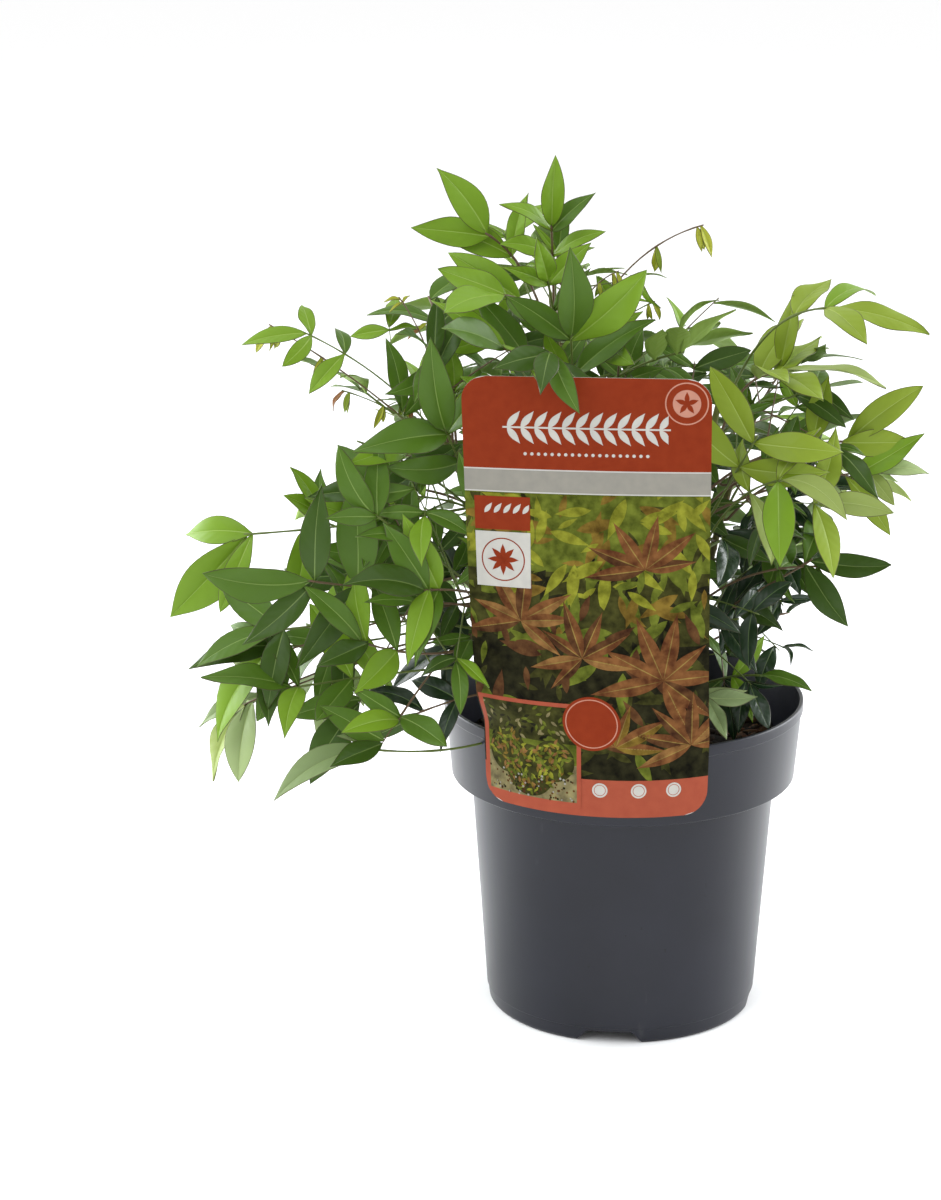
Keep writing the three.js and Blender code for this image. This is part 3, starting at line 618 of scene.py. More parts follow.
class SoilSettings(bpy.types.PropertyGroup):
    colour: colour_setting("Peat", "Damp potting mix", (28, 22, 18))
    crumb_colour: colour_setting("Crumbs", "Crumbs of peat", (58, 42, 32))
    bark_colour: colour_setting("Bark", "Chips of bark", (112, 74, 52))
    lumps: length_setting("Lumps", "Height of the lumps in the mix", 1.8)
    crumbs: count_setting("Crumbs", "Loose crumbs on the mix", 620)
    chips: count_setting("Chips", "Chips of bark on the mix", 110)


class CardSettings(bpy.types.PropertyGroup):
    thickness: length_setting("Thickness", "Of the card", 0.5)
    header: colour_setting("Header", "Orange-red of the upper band", (125, 45, 22))
    footer: colour_setting("Footer", "Orange-red of the lower band", (151, 73, 54))
    stripe: colour_setting("Stripe", "Pale band under the header", (138, 135, 127))
    paper: colour_setting("Paper", "White of the card and its back", (182, 180, 174))
    roughness: share_setting("Roughness", "Of the varnish", 0.3)


class CaneSettings(bpy.types.PropertyGroup):
    bark: colour_setting("Bark", "Brown of the lower canes", (84, 66, 46))
    young_bark: colour_setting("Young bark", "Green of the upper canes", (92, 98, 46))
    stalk: colour_setting("Stalk", "Leaf stalks", (84, 98, 38))
    stalk_flush: colour_setting("Flush", "Purple-brown of some stalks", (92, 72, 50))
    stalk_radius: length_setting("Stalk radius", "At the foot of a main stalk", 0.74)
    rings: length_setting("Joint spacing", "Between the rings of a cane", 16)


class LeafSettings(bpy.types.PropertyGroup):
    thickness: length_setting("Thickness", "Of a leaflet at its midrib", 0.45)
    width: share_setting("Width", "Of a leaflet, as a share of its length", 0.33)
    fold: share_setting("Fold", "How far the halves lift beside the midrib", 0.3)
    # Pale and lit are painted light: the glow of light coming through thin leaves, put into their colour.
    pale: colour_setting("Pale", "Thin leaves with the light behind them", (149, 167, 113))
    lit: colour_setting("Lit", "Leaves that some light comes through", (133, 149, 76))
    fresh: colour_setting("Fresh", "Yellow-green leaves", (122, 142, 38))
    bright: colour_setting("Bright", "Bright green leaves", (106, 139, 28))
    mid: colour_setting("Mid", "Grown leaves", (69, 99, 20))
    deep: colour_setting("Deep", "Older leaves", (52, 77, 17))
    # Shade is painted shade: leaves inside the crown, made dark in their own colour.
    shade: colour_setting("Shade", "Dark leaves inside the crown", (14, 39, 10))
    slate: colour_setting("Slate", "Dark glossy leaves", (29, 50, 29))
    grey: colour_setting("Grey", "Grey-green leaves", (121, 139, 92))
    young: colour_setting("Young", "Leaflets that still hang", (156, 160, 44))
    flush: colour_setting("Flush", "Reddish young leaflets", (140, 92, 54))
    underside: colour_setting("Underside", "Mixed into the undersides", (160, 178, 128))
    edge: colour_setting("Edge", "Thin reddish rim of a leaflet", (56, 48, 26))


class StageSettings(bpy.types.PropertyGroup):
    floor: colour_setting("Floor", "Plain pale floor", (255, 255, 255))
    sky: FloatProperty(name="Sky", description="Strength of the even light", default=1.1,
                       subtype="UNSIGNED", min=0)
    front: share_setting("Front", "Share of the even light that comes from the front", 0.56)
    key: power_setting("Key", "The main lamp", 15)
    fill: power_setting("Fill", "The second lamp", 4)
    side: power_setting("Sides", "Each lamp at the sides", 42)
    tint: FloatVectorProperty(name="Tint", description="Colour of the lamps", subtype="COLOR",
                              size=3, min=0, max=1, default=(0.94, 0.97, 1))


class PlantSettings(bpy.types.PropertyGroup):
    pot: PointerProperty(type=PotSettings, name="Pot", description="The nursery pot")
    soil: PointerProperty(type=SoilSettings, name="Soil", description="The potting mix")
    card: PointerProperty(type=CardSettings, name="Card", description="The picture card")
    cane: PointerProperty(type=CaneSettings, name="Canes", description="Canes and stalks")
    leaf: PointerProperty(type=LeafSettings, name="Leaves", description="Leaflets")
    stage: PointerProperty(type=StageSettings, name="Stage", description="Floor, lamps and camera")


def settings():
    return bpy.context.scene.plant_settings


# ---------------------------------------------------------------------------------------------
# Pot

BAND_FOOT = 114.4  # height of the collar's lower edge
BAND_FOOT_RADIUS = 81.3
BODY_TOP_RADIUS = 72.0
BASE_RADIUS = 63.8
DRAIN_HEIGHT = 6.0
CENTRE_DISC_RADIUS = 24.0
FOOT_RING_WIDTH = 6.0
MOULD_LINE = 7.5  # height of the fine step round the foot
NOTCH_TURNS = [-97, -7, 83, 173]
NOTCH_FOOT_WIDTH, NOTCH_TOP_WIDTH = 31.0, 21.0
NOTCH_RADII = (BASE_RADIUS - FOOT_RING_WIDTH * 1.6, BASE_RADIUS + 8)  # a notch is cut between them
DRAIN_HOLES, DRAIN_HOLE_RADIUS, DRAIN_HOLE_RING = 6, 4.5, 42.0
DRAIN_HOLE_FOOT, DRAIN_HOLE_TOP, DRAIN_HOLE_SIDES = 2, 12, 24
SHARP_EDGE = 38  # degrees from which an edge stays sharp


def pot_profile(pot):
    """Radius, height and corner cut from the middle of the floor, up the outside and down inside."""
    rim, top, wall = pot.rim_radius / MM, pot.height / MM, pot.wall / MM
    slope = (BODY_TOP_RADIUS - BASE_RADIUS) / BAND_FOOT
    line = BASE_RADIUS + slope * MOULD_LINE
    foot_inner = BASE_RADIUS - FOOT_RING_WIDTH
    floor, shelf = DRAIN_HEIGHT + wall, BAND_FOOT + wall
    return rounded([
        (0, 0, 0),
        (CENTRE_DISC_RADIUS, 0, 0.8),
        (CENTRE_DISC_RADIUS + 2, DRAIN_HEIGHT, 0.8),
        (foot_inner - 2, DRAIN_HEIGHT, 0.8),
        (foot_inner, 0, 0.8),
        (BASE_RADIUS - 0.6, 0, 2.4),
        (line - 0.5, MOULD_LINE - 0.3, 0.15),
        (line, MOULD_LINE, 0.15),
        (BODY_TOP_RADIUS - 0.2, BAND_FOOT - 3.4, 0.6),
        (BODY_TOP_RADIUS + 0.7, BAND_FOOT - 2.6, 0.5),
        (BODY_TOP_RADIUS + 0.9, BAND_FOOT - 0.5, 0.5),
        (BAND_FOOT_RADIUS, BAND_FOOT, 0.9),
        (rim - 0.8, top - 5.5, 0.4),
        (rim, top - 5.0, 0.4),
        (rim, top, 0.9),
        (rim - wall, top, 0.7),
        (BAND_FOOT_RADIUS - wall, shelf, 0.8),
        (BODY_TOP_RADIUS - wall, shelf, 0.8),
        (BASE_RADIUS - wall, floor, 1.5),
        (CENTRE_DISC_RADIUS - wall / 2, floor, 0),
        (CENTRE_DISC_RADIUS - 2, wall, 0),
        (0, wall, 0),
    ])


def notch_cutter(turn):
    """A closed wedge through the foot ring, narrower at its top."""
    foot, top = NOTCH_FOOT_WIDTH / 2, NOTCH_TOP_WIDTH / 2
    outline = rounded([
        (-foot - 3, -3, 0), (foot + 3, -3, 0), (foot - 0.4, 0.6, 1.2),
        (top, DRAIN_HEIGHT, 2.0), (-top, DRAIN_HEIGHT, 2.0), (-foot + 0.4, 0.6, 1.2),
    ])
    shape = Shape()
    rings = np.array([[(radius, y, z) for y, z in outline] for radius in NOTCH_RADII])
    shape.solid(rings, 0, [(radius, 0, 1) for radius in NOTCH_RADII])
    cutter = shape.build("notch_cutter", [])
    cutter.rotation_euler.z = math.radians(turn)
    return cutter


def hole_cutter(turn):
    """A closed round bar through the pot's floor."""
    angle = math.radians(turn)
    middle = np.array([math.cos(angle), math.sin(angle), 0]) * DRAIN_HOLE_RING
    shape = Shape()
    path = np.array([middle + UP * DRAIN_HOLE_FOOT, middle + UP * DRAIN_HOLE_TOP])
    tube(shape, path, [DRAIN_HOLE_RADIUS] * 2, DRAIN_HOLE_SIDES, 0)
    return shape.build("hole_cutter", [])


def cut_away(piece, cutters):
    """Cuts each cutter out of a piece for good."""
    bpy.context.view_layer.objects.active = piece
    for cutter in cutters:
        modifier = piece.modifiers.new("cut", "BOOLEAN")
        modifier.object, modifier.operation, modifier.solver = cutter, "DIFFERENCE", "EXACT"
    bpy.context.view_layer.update()
    evaluated = piece.evaluated_get(bpy.context.evaluated_depsgraph_get())
    piece.data = bpy.data.meshes.new_from_object(evaluated)
    piece.modifiers.clear()
    for cutter in cutters:
        bpy.data.objects.remove(cutter)


def plastic_finish(pot):
    finish = Finish("pot_plastic", pot.colour, pot.roughness, 0.34)
    cloud = finish.noise(14, 4)
    finish.colour_by(cloud, [(0.35, mixed(pot.colour, BLACK, 0.08)), (0.7, mixed(pot.colour, WHITE, 0.03))])
    specks = finish.noise(420, 2)
    finish.overlay(specks, 0.735, 0.76, 1, mixed(pot.colour, BLACK, 0.6))
    splashes = finish.noise(60, 6, stretch=(1, 1, 0.35))
    finish.overlay(splashes, 0.68, 0.8, 0.35, pot.dust)
    finish.roughness_by(cloud, pot.roughness - 0.06, pot.roughness + 0.1)
    finish.bump(finish.noise(900, 2), 0.12, 0.05)
    finish.bump(finish.noise(30, 2, stretch=(1, 1, 0.2)), 0.1, 0.3)
    return finish.material


class PLANT_OT_pot(bpy.types.Operator):
    """Turns the nursery pot with its collar, drainage ring, notches and holes"""
    bl_idname = "plant.pot"
    bl_label = "Make the pot"

    def execute(self, context):
        pot = settings().pot
        shape = Shape()
        lathe(shape, pot_profile(pot), pot.sides, 0)
        piece = shape.build("pot_shell", [])
        cutters = [notch_cutter(turn) for turn in NOTCH_TURNS]
        cutters += [hole_cutter((i + 0.5) * 360 / DRAIN_HOLES) for i in range(DRAIN_HOLES)]
        cut_away(piece, cutters)
        piece.data.materials.clear()
        piece.data.materials.append(plastic_finish(pot))
        piece.data.shade_smooth()
        piece.data.set_sharp_from_angle(angle=math.radians(SHARP_EDGE))
        finished(piece, "pot", "pot")
        return {"FINISHED"}


# ---------------------------------------------------------------------------------------------
# Potting mix

SOIL_CROWN = 3.0
EDGE_DIP = 1.2  # how much lower it lies by the wall
LUMP_SIZE, GRAIN_SIZE = 9, 2.6
LUMP_SHARE, GRAIN_SHARE, SETTLED = 0.8, 0.4, 0.6
SOIL_EDGE = 80.4  # its radius at the top, against the wall
SOIL_MIDDLE = 2.2  # height of its underside in the middle
# Radius and height of its underside and side, from the middle outwards
SOIL_WALL = [(19.6, 2.2), (21.8, 8.2), (61.6, 8.2), (69.8, 116.4), (79.0, 116.4),
             (SOIL_EDGE, SOIL_TOP - 3)]
SOIL_RINGS, SOIL_SIDES = 70, 160
SOIL_INNERMOST, SOIL_CROWDING = 0.012, 0.8  # the rings lie closer towards the wall
SCATTER_REACH = 0.965  # how near to the wall loose lumps lie
CRUMB_SIZE, CRUMB_FLATNESS, CRUMB_KEY = 1.5, 0.3, 301
CHIP_SIZE, CHIP_FLATNESS, CHIP_KEY = 2.4, 0.8, 302


def soil_height(x, y, lumps):
    """Height of the mix over a point, lumpy and a little lower by the wall."""
    share = math.hypot(x, y) / SOIL_EDGE
    rough = noise.fractal(Vector((x, y, 0)) / LUMP_SIZE, 0.9, 2.1, 4)
    grain = noise.fractal(Vector((x, y, 7)) / GRAIN_SIZE, 1.0, 2.0, 2)
    level = SOIL_TOP + SOIL_CROWN * (1 - share**2) - EDGE_DIP * share**6
    return level + lumps * (rough * LUMP_SHARE + grain * GRAIN_SHARE) - SETTLED


def unit_ball():
    """Points and faces of a ball of triangles."""
    ball = bmesh.new()
    bmesh.ops.create_icosphere(ball, subdivisions=2, radius=1)
    points = np.array([v.co for v in ball.verts])
    faces = np.array([[v.index for v in f.verts] for f in ball.faces])
    ball.free()
    return points, faces


def scattered(name, count, size, flatness, key, lumps, finish):
    """Loose lumps that lie on the mix, each with its own size, turn and dents."""
    shape = Shape()
    points, faces = unit_ball()
    for i in range(count):
        draw = [chance(key, i, use) for use in range(8)]
        radius = SOIL_EDGE * SCATTER_REACH * math.sqrt(draw[0])
        turn = draw[1] * 2 * math.pi
        x, y = radius * math.cos(turn), radius * math.sin(turn)
        scale = size * (0.55 + 0.9 * draw[2] ** 2)
        stretch = np.array([1 + flatness * draw[3] * 2.2, 0.8 + 0.3 * draw[4],
                            1 - flatness * (0.4 + 0.3 * draw[5])])
        dents = np.array([noise.noise(Vector(p) * 1.3 + Vector((i, key, 0))) for p in points])
        lump = points * (1 + 0.45 * dents[:, None]) * stretch * scale
        yaw, pitch = draw[6] * 2 * math.pi, (draw[7] - 0.5) * 0.9
        lump = lump @ np.array([[math.cos(pitch), 0, -math.sin(pitch)], [0, 1, 0],
                                [math.sin(pitch), 0, math.cos(pitch)]])
        lump = lump @ np.array([[math.cos(yaw), math.sin(yaw), 0],
                                [-math.sin(yaw), math.cos(yaw), 0], [0, 0, 1]])
        lump += (x, y, soil_height(x, y, lumps) + scale * stretch[2] * 0.45)
        shape.add(lump, faces, 0)
    finished(shape.build(name, [finish.material]), "soil")


class PLANT_OT_soil(bpy.types.Operator):
    """Fills the pot with lumpy potting mix, crumbs and chips of bark"""
    bl_idname = "plant.soil"
    bl_label = "Make the soil"

    def execute(self, context):
        soil = settings().soil
        lumps = soil.lumps / MM
        peat = Finish("peat", soil.colour, 0.9, 0.25)
        peat.colour_by(peat.noise(260, 5), [(0.3, mixed(soil.colour, BLACK, 0.45)),
                                            (0.52, soil.colour), (0.75, soil.crumb_colour)])
        peat.bump(peat.noise(500, 4), 0.6, 0.6)
        crumbs = Finish("peat_crumbs", soil.crumb_colour, 0.92, 0.25)
        crumbs.colour_by(crumbs.noise(180, 4), [(0.35, soil.colour), (0.7, soil.crumb_colour)])
        crumbs.bump(crumbs.noise(700, 3), 0.5, 0.3)
        bark = Finish("bark_chips", soil.bark_colour, 0.8, 0.3)
        bark.colour_by(bark.noise(120, 4), [(0.3, mixed(soil.bark_colour, BLACK, 0.5)),
                                            (0.7, soil.bark_colour)])
        bark.bump(bark.noise(300, 4, stretch=(1, 4, 1)), 0.5, 0.5)

        ground = Shape()
        rings = [circle(radius, height, SOIL_SIDES) for radius, height in SOIL_WALL]
        for share in np.linspace(1, SOIL_INNERMOST, SOIL_RINGS) ** SOIL_CROWDING:
            ring = circle(SOIL_EDGE * share, 0, SOIL_SIDES)
            rings.append([(x, y, soil_height(x, y, lumps)) for x, y, _ in ring])
        ground.solid(np.array(rings), 0, [(0, 0, SOIL_MIDDLE), (0, 0, soil_height(0, 0, lumps))])
        finished(ground.build("potting_mix", [peat.material]), "soil", "soil")
        scattered("soil_crumbs", soil.crumbs, CRUMB_SIZE, CRUMB_FLATNESS, CRUMB_KEY, lumps, crumbs)
        scattered("bark_chips", soil.chips, CHIP_SIZE, CHIP_FLATNESS, CHIP_KEY, lumps, bark)
        return {"FINISHED"}


# ---------------------------------------------------------------------------------------------
# Picture card

CARD_WIDTH = 110.0
CARD_FOOT, CARD_TOP = 120.0, 325.0
CARD_CORNER = 11.0
CARD_RADIUS = 86.3  # of the card where it lies round the collar
CARD_TUCK = 0.05  # how far each millimetre below the rim leans in along the collar
CARD_TURN = -12.8  # degrees round the pot from the front
CARD_TOP_CENTRE = -22.0
CARD_TOP_TURN = -4.5
CARD_LEAN = 2.0  # how far the top edge stands out past the rim line
RIM_LINE = 154.0
RIM_CURVE = 85.0  # the radius that widths round the pot are measured on
CARD_BEND = 0.12  # share of the free part over which it leaves the pot's curve
HANGER_WIDTH = 34.0
HANGER_FOOT, HANGER_TOP = 128.4, 154.8  # its lower end and the underside of its upper end
HANGER_STEPS = 15
CARD_EDGE = 40  # degrees from which an edge stays sharp
INK_STEP = 0.02  # each layer of print lies this much higher
INK_CELL = 1.25  # the sheet and its print are bent in cells of this size
INK_LEAF = (0.42, 2.3)  # where a printed leaf is widest, and its taper
ROUND_STEPS, SMALL_STEPS, SMALL_ROUND = 65, 25, 3


def card_point(across, height, outward):
    """A place on the card: across from its middle, up from its foot, out from its mid-plane."""
    height = CARD_FOOT + height
    radius = CARD_RADIUS + outward - max(0, RIM_LINE - height) * CARD_TUCK
    turn = math.radians(CARD_TURN) + across / RIM_CURVE
    wrapped = np.array([math.sin(turn) * radius, -math.cos(turn) * radius, height])
    facing = math.radians(CARD_TOP_TURN)
    flat = np.array([
        CARD_TOP_CENTRE + math.cos(facing) * across + math.sin(facing) * outward,
        -CARD_RADIUS - CARD_LEAN + math.sin(facing) * across - math.cos(facing) * outward,
        height,
    ])
    share = min(max((height - RIM_LINE) / (CARD_TOP - RIM_LINE), 0), 1)
    into = min(share / CARD_BEND, 1)
    eased = math.sqrt(CARD_BEND) * (2.5 - 1.5 * into) * into**2 if into < 1 else math.sqrt(share)
    return wrapped + (flat - wrapped) * eased


def card_half_width(height):
    """Half the card's width at a height over its foot, less where its corners are round."""
    into = max(0, CARD_CORNER - min(height, CARD_TOP - CARD_FOOT - height))
    return CARD_WIDTH / 2 - CARD_CORNER + math.sqrt(max(CARD_CORNER**2 - into**2, 0))


def cell_lines(low, high):
    """Both ends and the lines of the card's cells between them."""
    first, last = math.floor(low / INK_CELL) + 1, math.ceil(high / INK_CELL) - 1
    return [low, *(i * INK_CELL for i in range(first, last + 1)), high]


class Print:
    """Flat areas of colour on the front of the card."""

    def __init__(self, thickness):
        self.shape = Shape()
        self.face = thickness / 2
        self.slots = {}
        self.finishes = []

    def ink(self, name, colour, roughness, uneven):
        """A colour of the print, more or less uneven."""
        finish = Finish(f"ink_{name}", colour, roughness, 0.03)
        finish.colour_by(finish.noise(210, 4), [(0.3, mixed(colour, BLACK, uneven)),
                                                (0.7, mixed(colour, (1, 1, 0.6), uneven * 0.4))])
        finish.bump(finish.noise(260, 3), 0.05, 0.1)
        self.slots[name] = len(self.finishes)
        self.finishes.append(finish.material)

    def lay(self, flat, layer, ink):
        """A grid of (across, height) pairs, laid on the card, without cells that came out empty."""
        out = self.face + INK_STEP * (layer + 1.5)
        flat = np.array(flat)
        points = np.array([[card_point(x, h, out) for x, h in row] for row in flat])
        faces = quads_over(*flat.shape[:2]).reshape(-1, 4)
        corners = flat.reshape(-1, 2)[faces]
        first, second = corners[:, 2] - corners[:, 0], corners[:, 3] - corners[:, 1]
        filled = np.abs(first[:, 0] * second[:, 1] - first[:, 1] * second[:, 0]) > 0.001
        self.shape.add(points.reshape(-1, 3), faces[filled], self.slots[ink])

    def panel(self, left, right, foot, top, layer, ink):
        """An upright rectangle, rounded where it meets the card's corners."""
        flat = []
        for height in cell_lines(foot, top):
            half = card_half_width(height)
            flat.append([(min(max(x, -half), half), height) for x in cell_lines(left, right)])
        self.lay(flat, layer, ink)

    def blade(self, x, y, turn, length, width, layer, ink, clip, sides=(-1, 1)):
        """A pointed oval, or one half of it, that grows from (x, y) towards turn (degrees)."""
        angle = math.radians(turn)
        columns = np.linspace(*sides, 3 + 2 * int(width * (sides[1] - sides[0]) > 4 * INK_CELL))
        flat = []
        for share in np.linspace(0, 1, max(9, int(length / INK_CELL))):
            half = width / 2 * outline_width(share, *INK_LEAF)
            row = []
            for side in columns:
                px = x + math.cos(angle) * share * length + math.sin(angle) * side * half
                py = y + math.sin(angle) * share * length - math.cos(angle) * side * half
                row.append((min(max(px, clip[0]), clip[1]), min(max(py, clip[2]), clip[3])))
            flat.append(row[::-1])
        self.lay(flat, layer, ink)

    def disc(self, x, y, radius, layer, ink, inner=0.0):
        """A round spot, or a ring where it has an inner radius."""
        turns = np.linspace(0, 2 * math.pi, ROUND_STEPS if radius > SMALL_ROUND else SMALL_STEPS)
        shares = np.linspace(inner + 0.01, radius, 2 + int((radius - inner) / 1.5))
        flat = [[(x + r * math.cos(a), y + r * math.sin(a)) for a in turns] for r in shares[::-1]]
        self.lay(flat, layer, ink)


def outline_width(share, widest, taper=2.0):
    """Width of a leaflet at a share of its length, 1 where it is widest."""
    rise, fall = taper * widest, taper * (1 - widest)
    share = min(max(share, 0), 1)
    return (share / widest) ** rise * ((1 - share) / (1 - widest)) ** fall


# Bands of the card, each with its lower and upper edge over the card's foot and its ink
BANDS = [(163, CARD_TOP - CARD_FOOT, "header"), (152.6, 162.4, "stripe"), (18, 82, "night"),
         (82, 116, "moss"), (116, 152, "leafy"), (0, 18, "footer")]
HALF_CARD = CARD_WIDTH / 2
PICTURE = (0.2 - HALF_CARD, HALF_CARD - 0.2, 18.0, 151.6)  # left, right, foot and top
# Soft leaves behind the fans, each layer with its ink, lowest, highest and count
BACKDROP = [("night", 60, 116, 46), ("moss", 18, 150, 60), ("leafy", 86, 140, 50),
            ("gold", 92, 150, 34), ("lime", 106, 152, 50), ("moss", 20, 105, 34),
            ("leafy", 30, 112, 26), ("plum", 26, 100, 24)]
# Fans of leaves, each with its place, count, leaf length, middle turn and ink
FANS = [(-30, 92, 7, 27, 75, "copper"), (26, 118, 6, 26, 100, "rust"), (34, 66, 8, 29, 60, "rust"),
        (-2, 76, 7, 25, 110, "copper"), (12, 34, 5, 24, 70, "gold"), (46, 34, 6, 26, 105, "copper")]
FAN_STEP = 38  # degrees between the leaves of a fan
FAN_LAYER = 9
TITLE_HEIGHT, TITLE_LEAVES, TITLE_DOTS, DOT_HEIGHT = 182, 12, 19, 170
EMBLEM = (44, 194)
SIGN = (-50.6, -25, 134.5, 150)  # left, right, foot and top
BADGE = (-50.6, -25, 107.6, 133.5)
BADGE_CENTRE = (-37.8, 120.5)
FRAME_EDGE = (-54, -3.5, 3.5, 54)
SMALL_PICTURE = (-51.5, -5.5, 6, 52)
SMALL_BANDS = [(6, 24, "sand"), (24, 34, "leafy"), (34, 52, "moss")]
BUSHES = [(-40, 26, 10.5), (-16.5, 25, 10), (-28.5, 19, 12.5)]
ROUNDEL = (1.5, 45)
SPOTS, SPOT_HEIGHT = (5, 22.5, 38.5), 13
HEDGE_LEAVES, BUSH_LEAVES, BED_FLOWERS = 60, 70, 110


def print_inks(art, card):
    """The plain inks of the bands and signs, and the uneven ones of the leaves."""
    plain = {"header": card.header, "footer": card.footer, "stripe": card.stripe, "white": card.paper,
             "rose": (0.7, 0.5, 0.43)}
    leafy = {"night": (0.05, 0.045, 0.02), "moss": (0.16, 0.16, 0.05), "leafy": (0.31, 0.35, 0.09),
             "lime": (0.47, 0.48, 0.12), "gold": (0.41, 0.31, 0.1), "rust": (0.4, 0.22, 0.12),
             "copper": (0.47, 0.31, 0.17), "plum": (0.27, 0.14, 0.08), "sand": (0.46, 0.42, 0.3),
             "veins": (0.5, 0.4, 0.2)}
    for inks, uneven in ((plain, 0.04), (leafy, 0.3)):
        for name, colour in inks.items():
            art.ink(name, tuple(colour), card.roughness, uneven)


def print_picture(art):
    """Small soft leaves, lime and gold at the top and dark below, and fans of rusty leaves."""
    for layer, (ink, low, high, count) in enumerate(BACKDROP, 1):
        for i in range(count):
            x = -HALF_CARD + CARD_WIDTH * (i + chance(layer, i, 1)) / count
            y = low + (high - low) * chance(layer, i * 7, 2)
            length = 9 + 13 * chance(layer, i, 4)
            art.blade(x, y, 360 * chance(layer, i, 3), length, length * 0.27, layer, ink, PICTURE)
    for fan, (x, y, count, length, middle, ink) in enumerate(FANS):
        for i in range(count):
            turn = middle + (i - (count - 1) / 2) * FAN_STEP + spread(8, fan, i, 5)
            reach = length * (1 + spread(0.16, fan, i, 6))
            lit, dark = (ink, "rust") if chance(fan, i, 7) < 0.6 else ("rust", "plum")
            layer = FAN_LAYER + fan * 0.25 + i % 2 * 0.12
            art.blade(x, y, turn, reach, reach * 0.25, layer, lit, PICTURE, (0, 1))
            art.blade(x, y, turn, reach, reach * 0.25, layer, dark, PICTURE, (-1, 0))
            art.blade(x, y, turn, reach * 0.94, 0.5, layer + 0.06, "veins", PICTURE)


def print_title(art):
    """A white sprig and dots, and a flower in a ring."""
    art.panel(-37, 37, TITLE_HEIGHT - 0.4, TITLE_HEIGHT + 0.4, 1, "white")
    for i in range(TITLE_LEAVES):
        for side in (-1, 1):
            art.blade(-35 + i * 6.1, TITLE_HEIGHT, 52 * side, 9.5, 3.2, 2, "white", (-36.5, 36, 165, 200))
    for i in range(TITLE_DOTS):
        art.disc(-27 + i * 3, DOT_HEIGHT, 0.75, 1, "white")
    art.disc(*EMBLEM, 9.6, 1, "rose", inner=9.0)
    art.disc(*EMBLEM, 6.2, 1, "rose")
    for i in range(5):
        art.blade(*EMBLEM, 90 + i * 72, 5.4, 2.2, 2, "header", (30, 55, 180, 205))


def print_badges(art):
    """A plain sign over a badge."""
    art.panel(*SIGN, 10, "header")
    for i in range(5):
        art.blade(-46 + i * 4.4, 142.2, 52, 6, 2.2, 11, "white", (-50, -25.5, 135, 150))
    art.panel(*BADGE, 10, "white")
    art.disc(*BADGE_CENTRE, 10.2, 11, "header", inner=9.6)
    for i in range(8):
        art.blade(*BADGE_CENTRE, i * 45, 7.4, 2.6, 11, "header", (-50, -25, 107, 134))


def print_small_picture(art):
    """Three round bushes between a hedge and a bed of small flowers, in a frame."""
    art.panel(*FRAME_EDGE, 10.5, "footer")
    for low, high, ink in SMALL_BANDS:
        art.panel(*SMALL_PICTURE[:2], low, high, 11, ink)
    for i in range(HEDGE_LEAVES):
        x, y = -51 + 45 * chance(i, 16), 34 + 17 * chance(i, 17)
        ink = ("leafy", "night", "sand")[i % 3]
        art.blade(x, y, 360 * chance(i, 18), 3.6, 1.4, 11.5, ink, SMALL_PICTURE)
    for bush, (x, y, size) in enumerate(BUSHES):
        art.disc(x, y, size, 12 + bush * 0.5, "moss")
        for i in range(BUSH_LEAVES):
            turn = math.radians(360 * chance(bush, i, 8))
            reach = size * math.sqrt(chance(bush, i, 9)) * 0.92
            ink = ("leafy", "lime", "gold", "leafy", "copper")[int(5 * chance(bush, i, 10))]
            art.blade(x + reach * math.cos(turn), y + reach * math.sin(turn), 360 * chance(bush, i, 11),
                      3.4, 1.3, 14 + bush * 0.3 + i % 5 * 0.05, ink, SMALL_PICTURE)
    for i in range(BED_FLOWERS):
        x, y = -51 + 45 * chance(i, 12), 6.3 + 11 * chance(i, 13) ** 1.4
        ink = ("plum", "stripe", "night")[int(3 * chance(i, 14))]
        art.disc(x, y, 0.35 + 0.25 * chance(i, 15), 15.5, ink)


def print_roundels(art):
    """A roundel beside the small picture, and a row of spots below it."""
    art.disc(*ROUNDEL, 13, 12, "header")
    art.disc(*ROUNDEL, 11.8, 13, "rose", inner=11.3)
    for x in SPOTS:
        art.disc(x, SPOT_HEIGHT, 3.5, 3, "white")
        art.disc(x, SPOT_HEIGHT, 2.7, 4, "footer", inner=2.4)


def print_card(card):
    """A generic design: a leafy picture between plain orange-red bands."""
    art = Print(card.thickness / MM)
    print_inks(art, card)
    for foot, top, ink in BANDS:
        art.panel(-HALF_CARD, HALF_CARD, foot, top, 0, ink)
    print_picture(art)
    print_title(art)
    print_badges(art)
    print_small_picture(art)
    print_roundels(art)
    return art


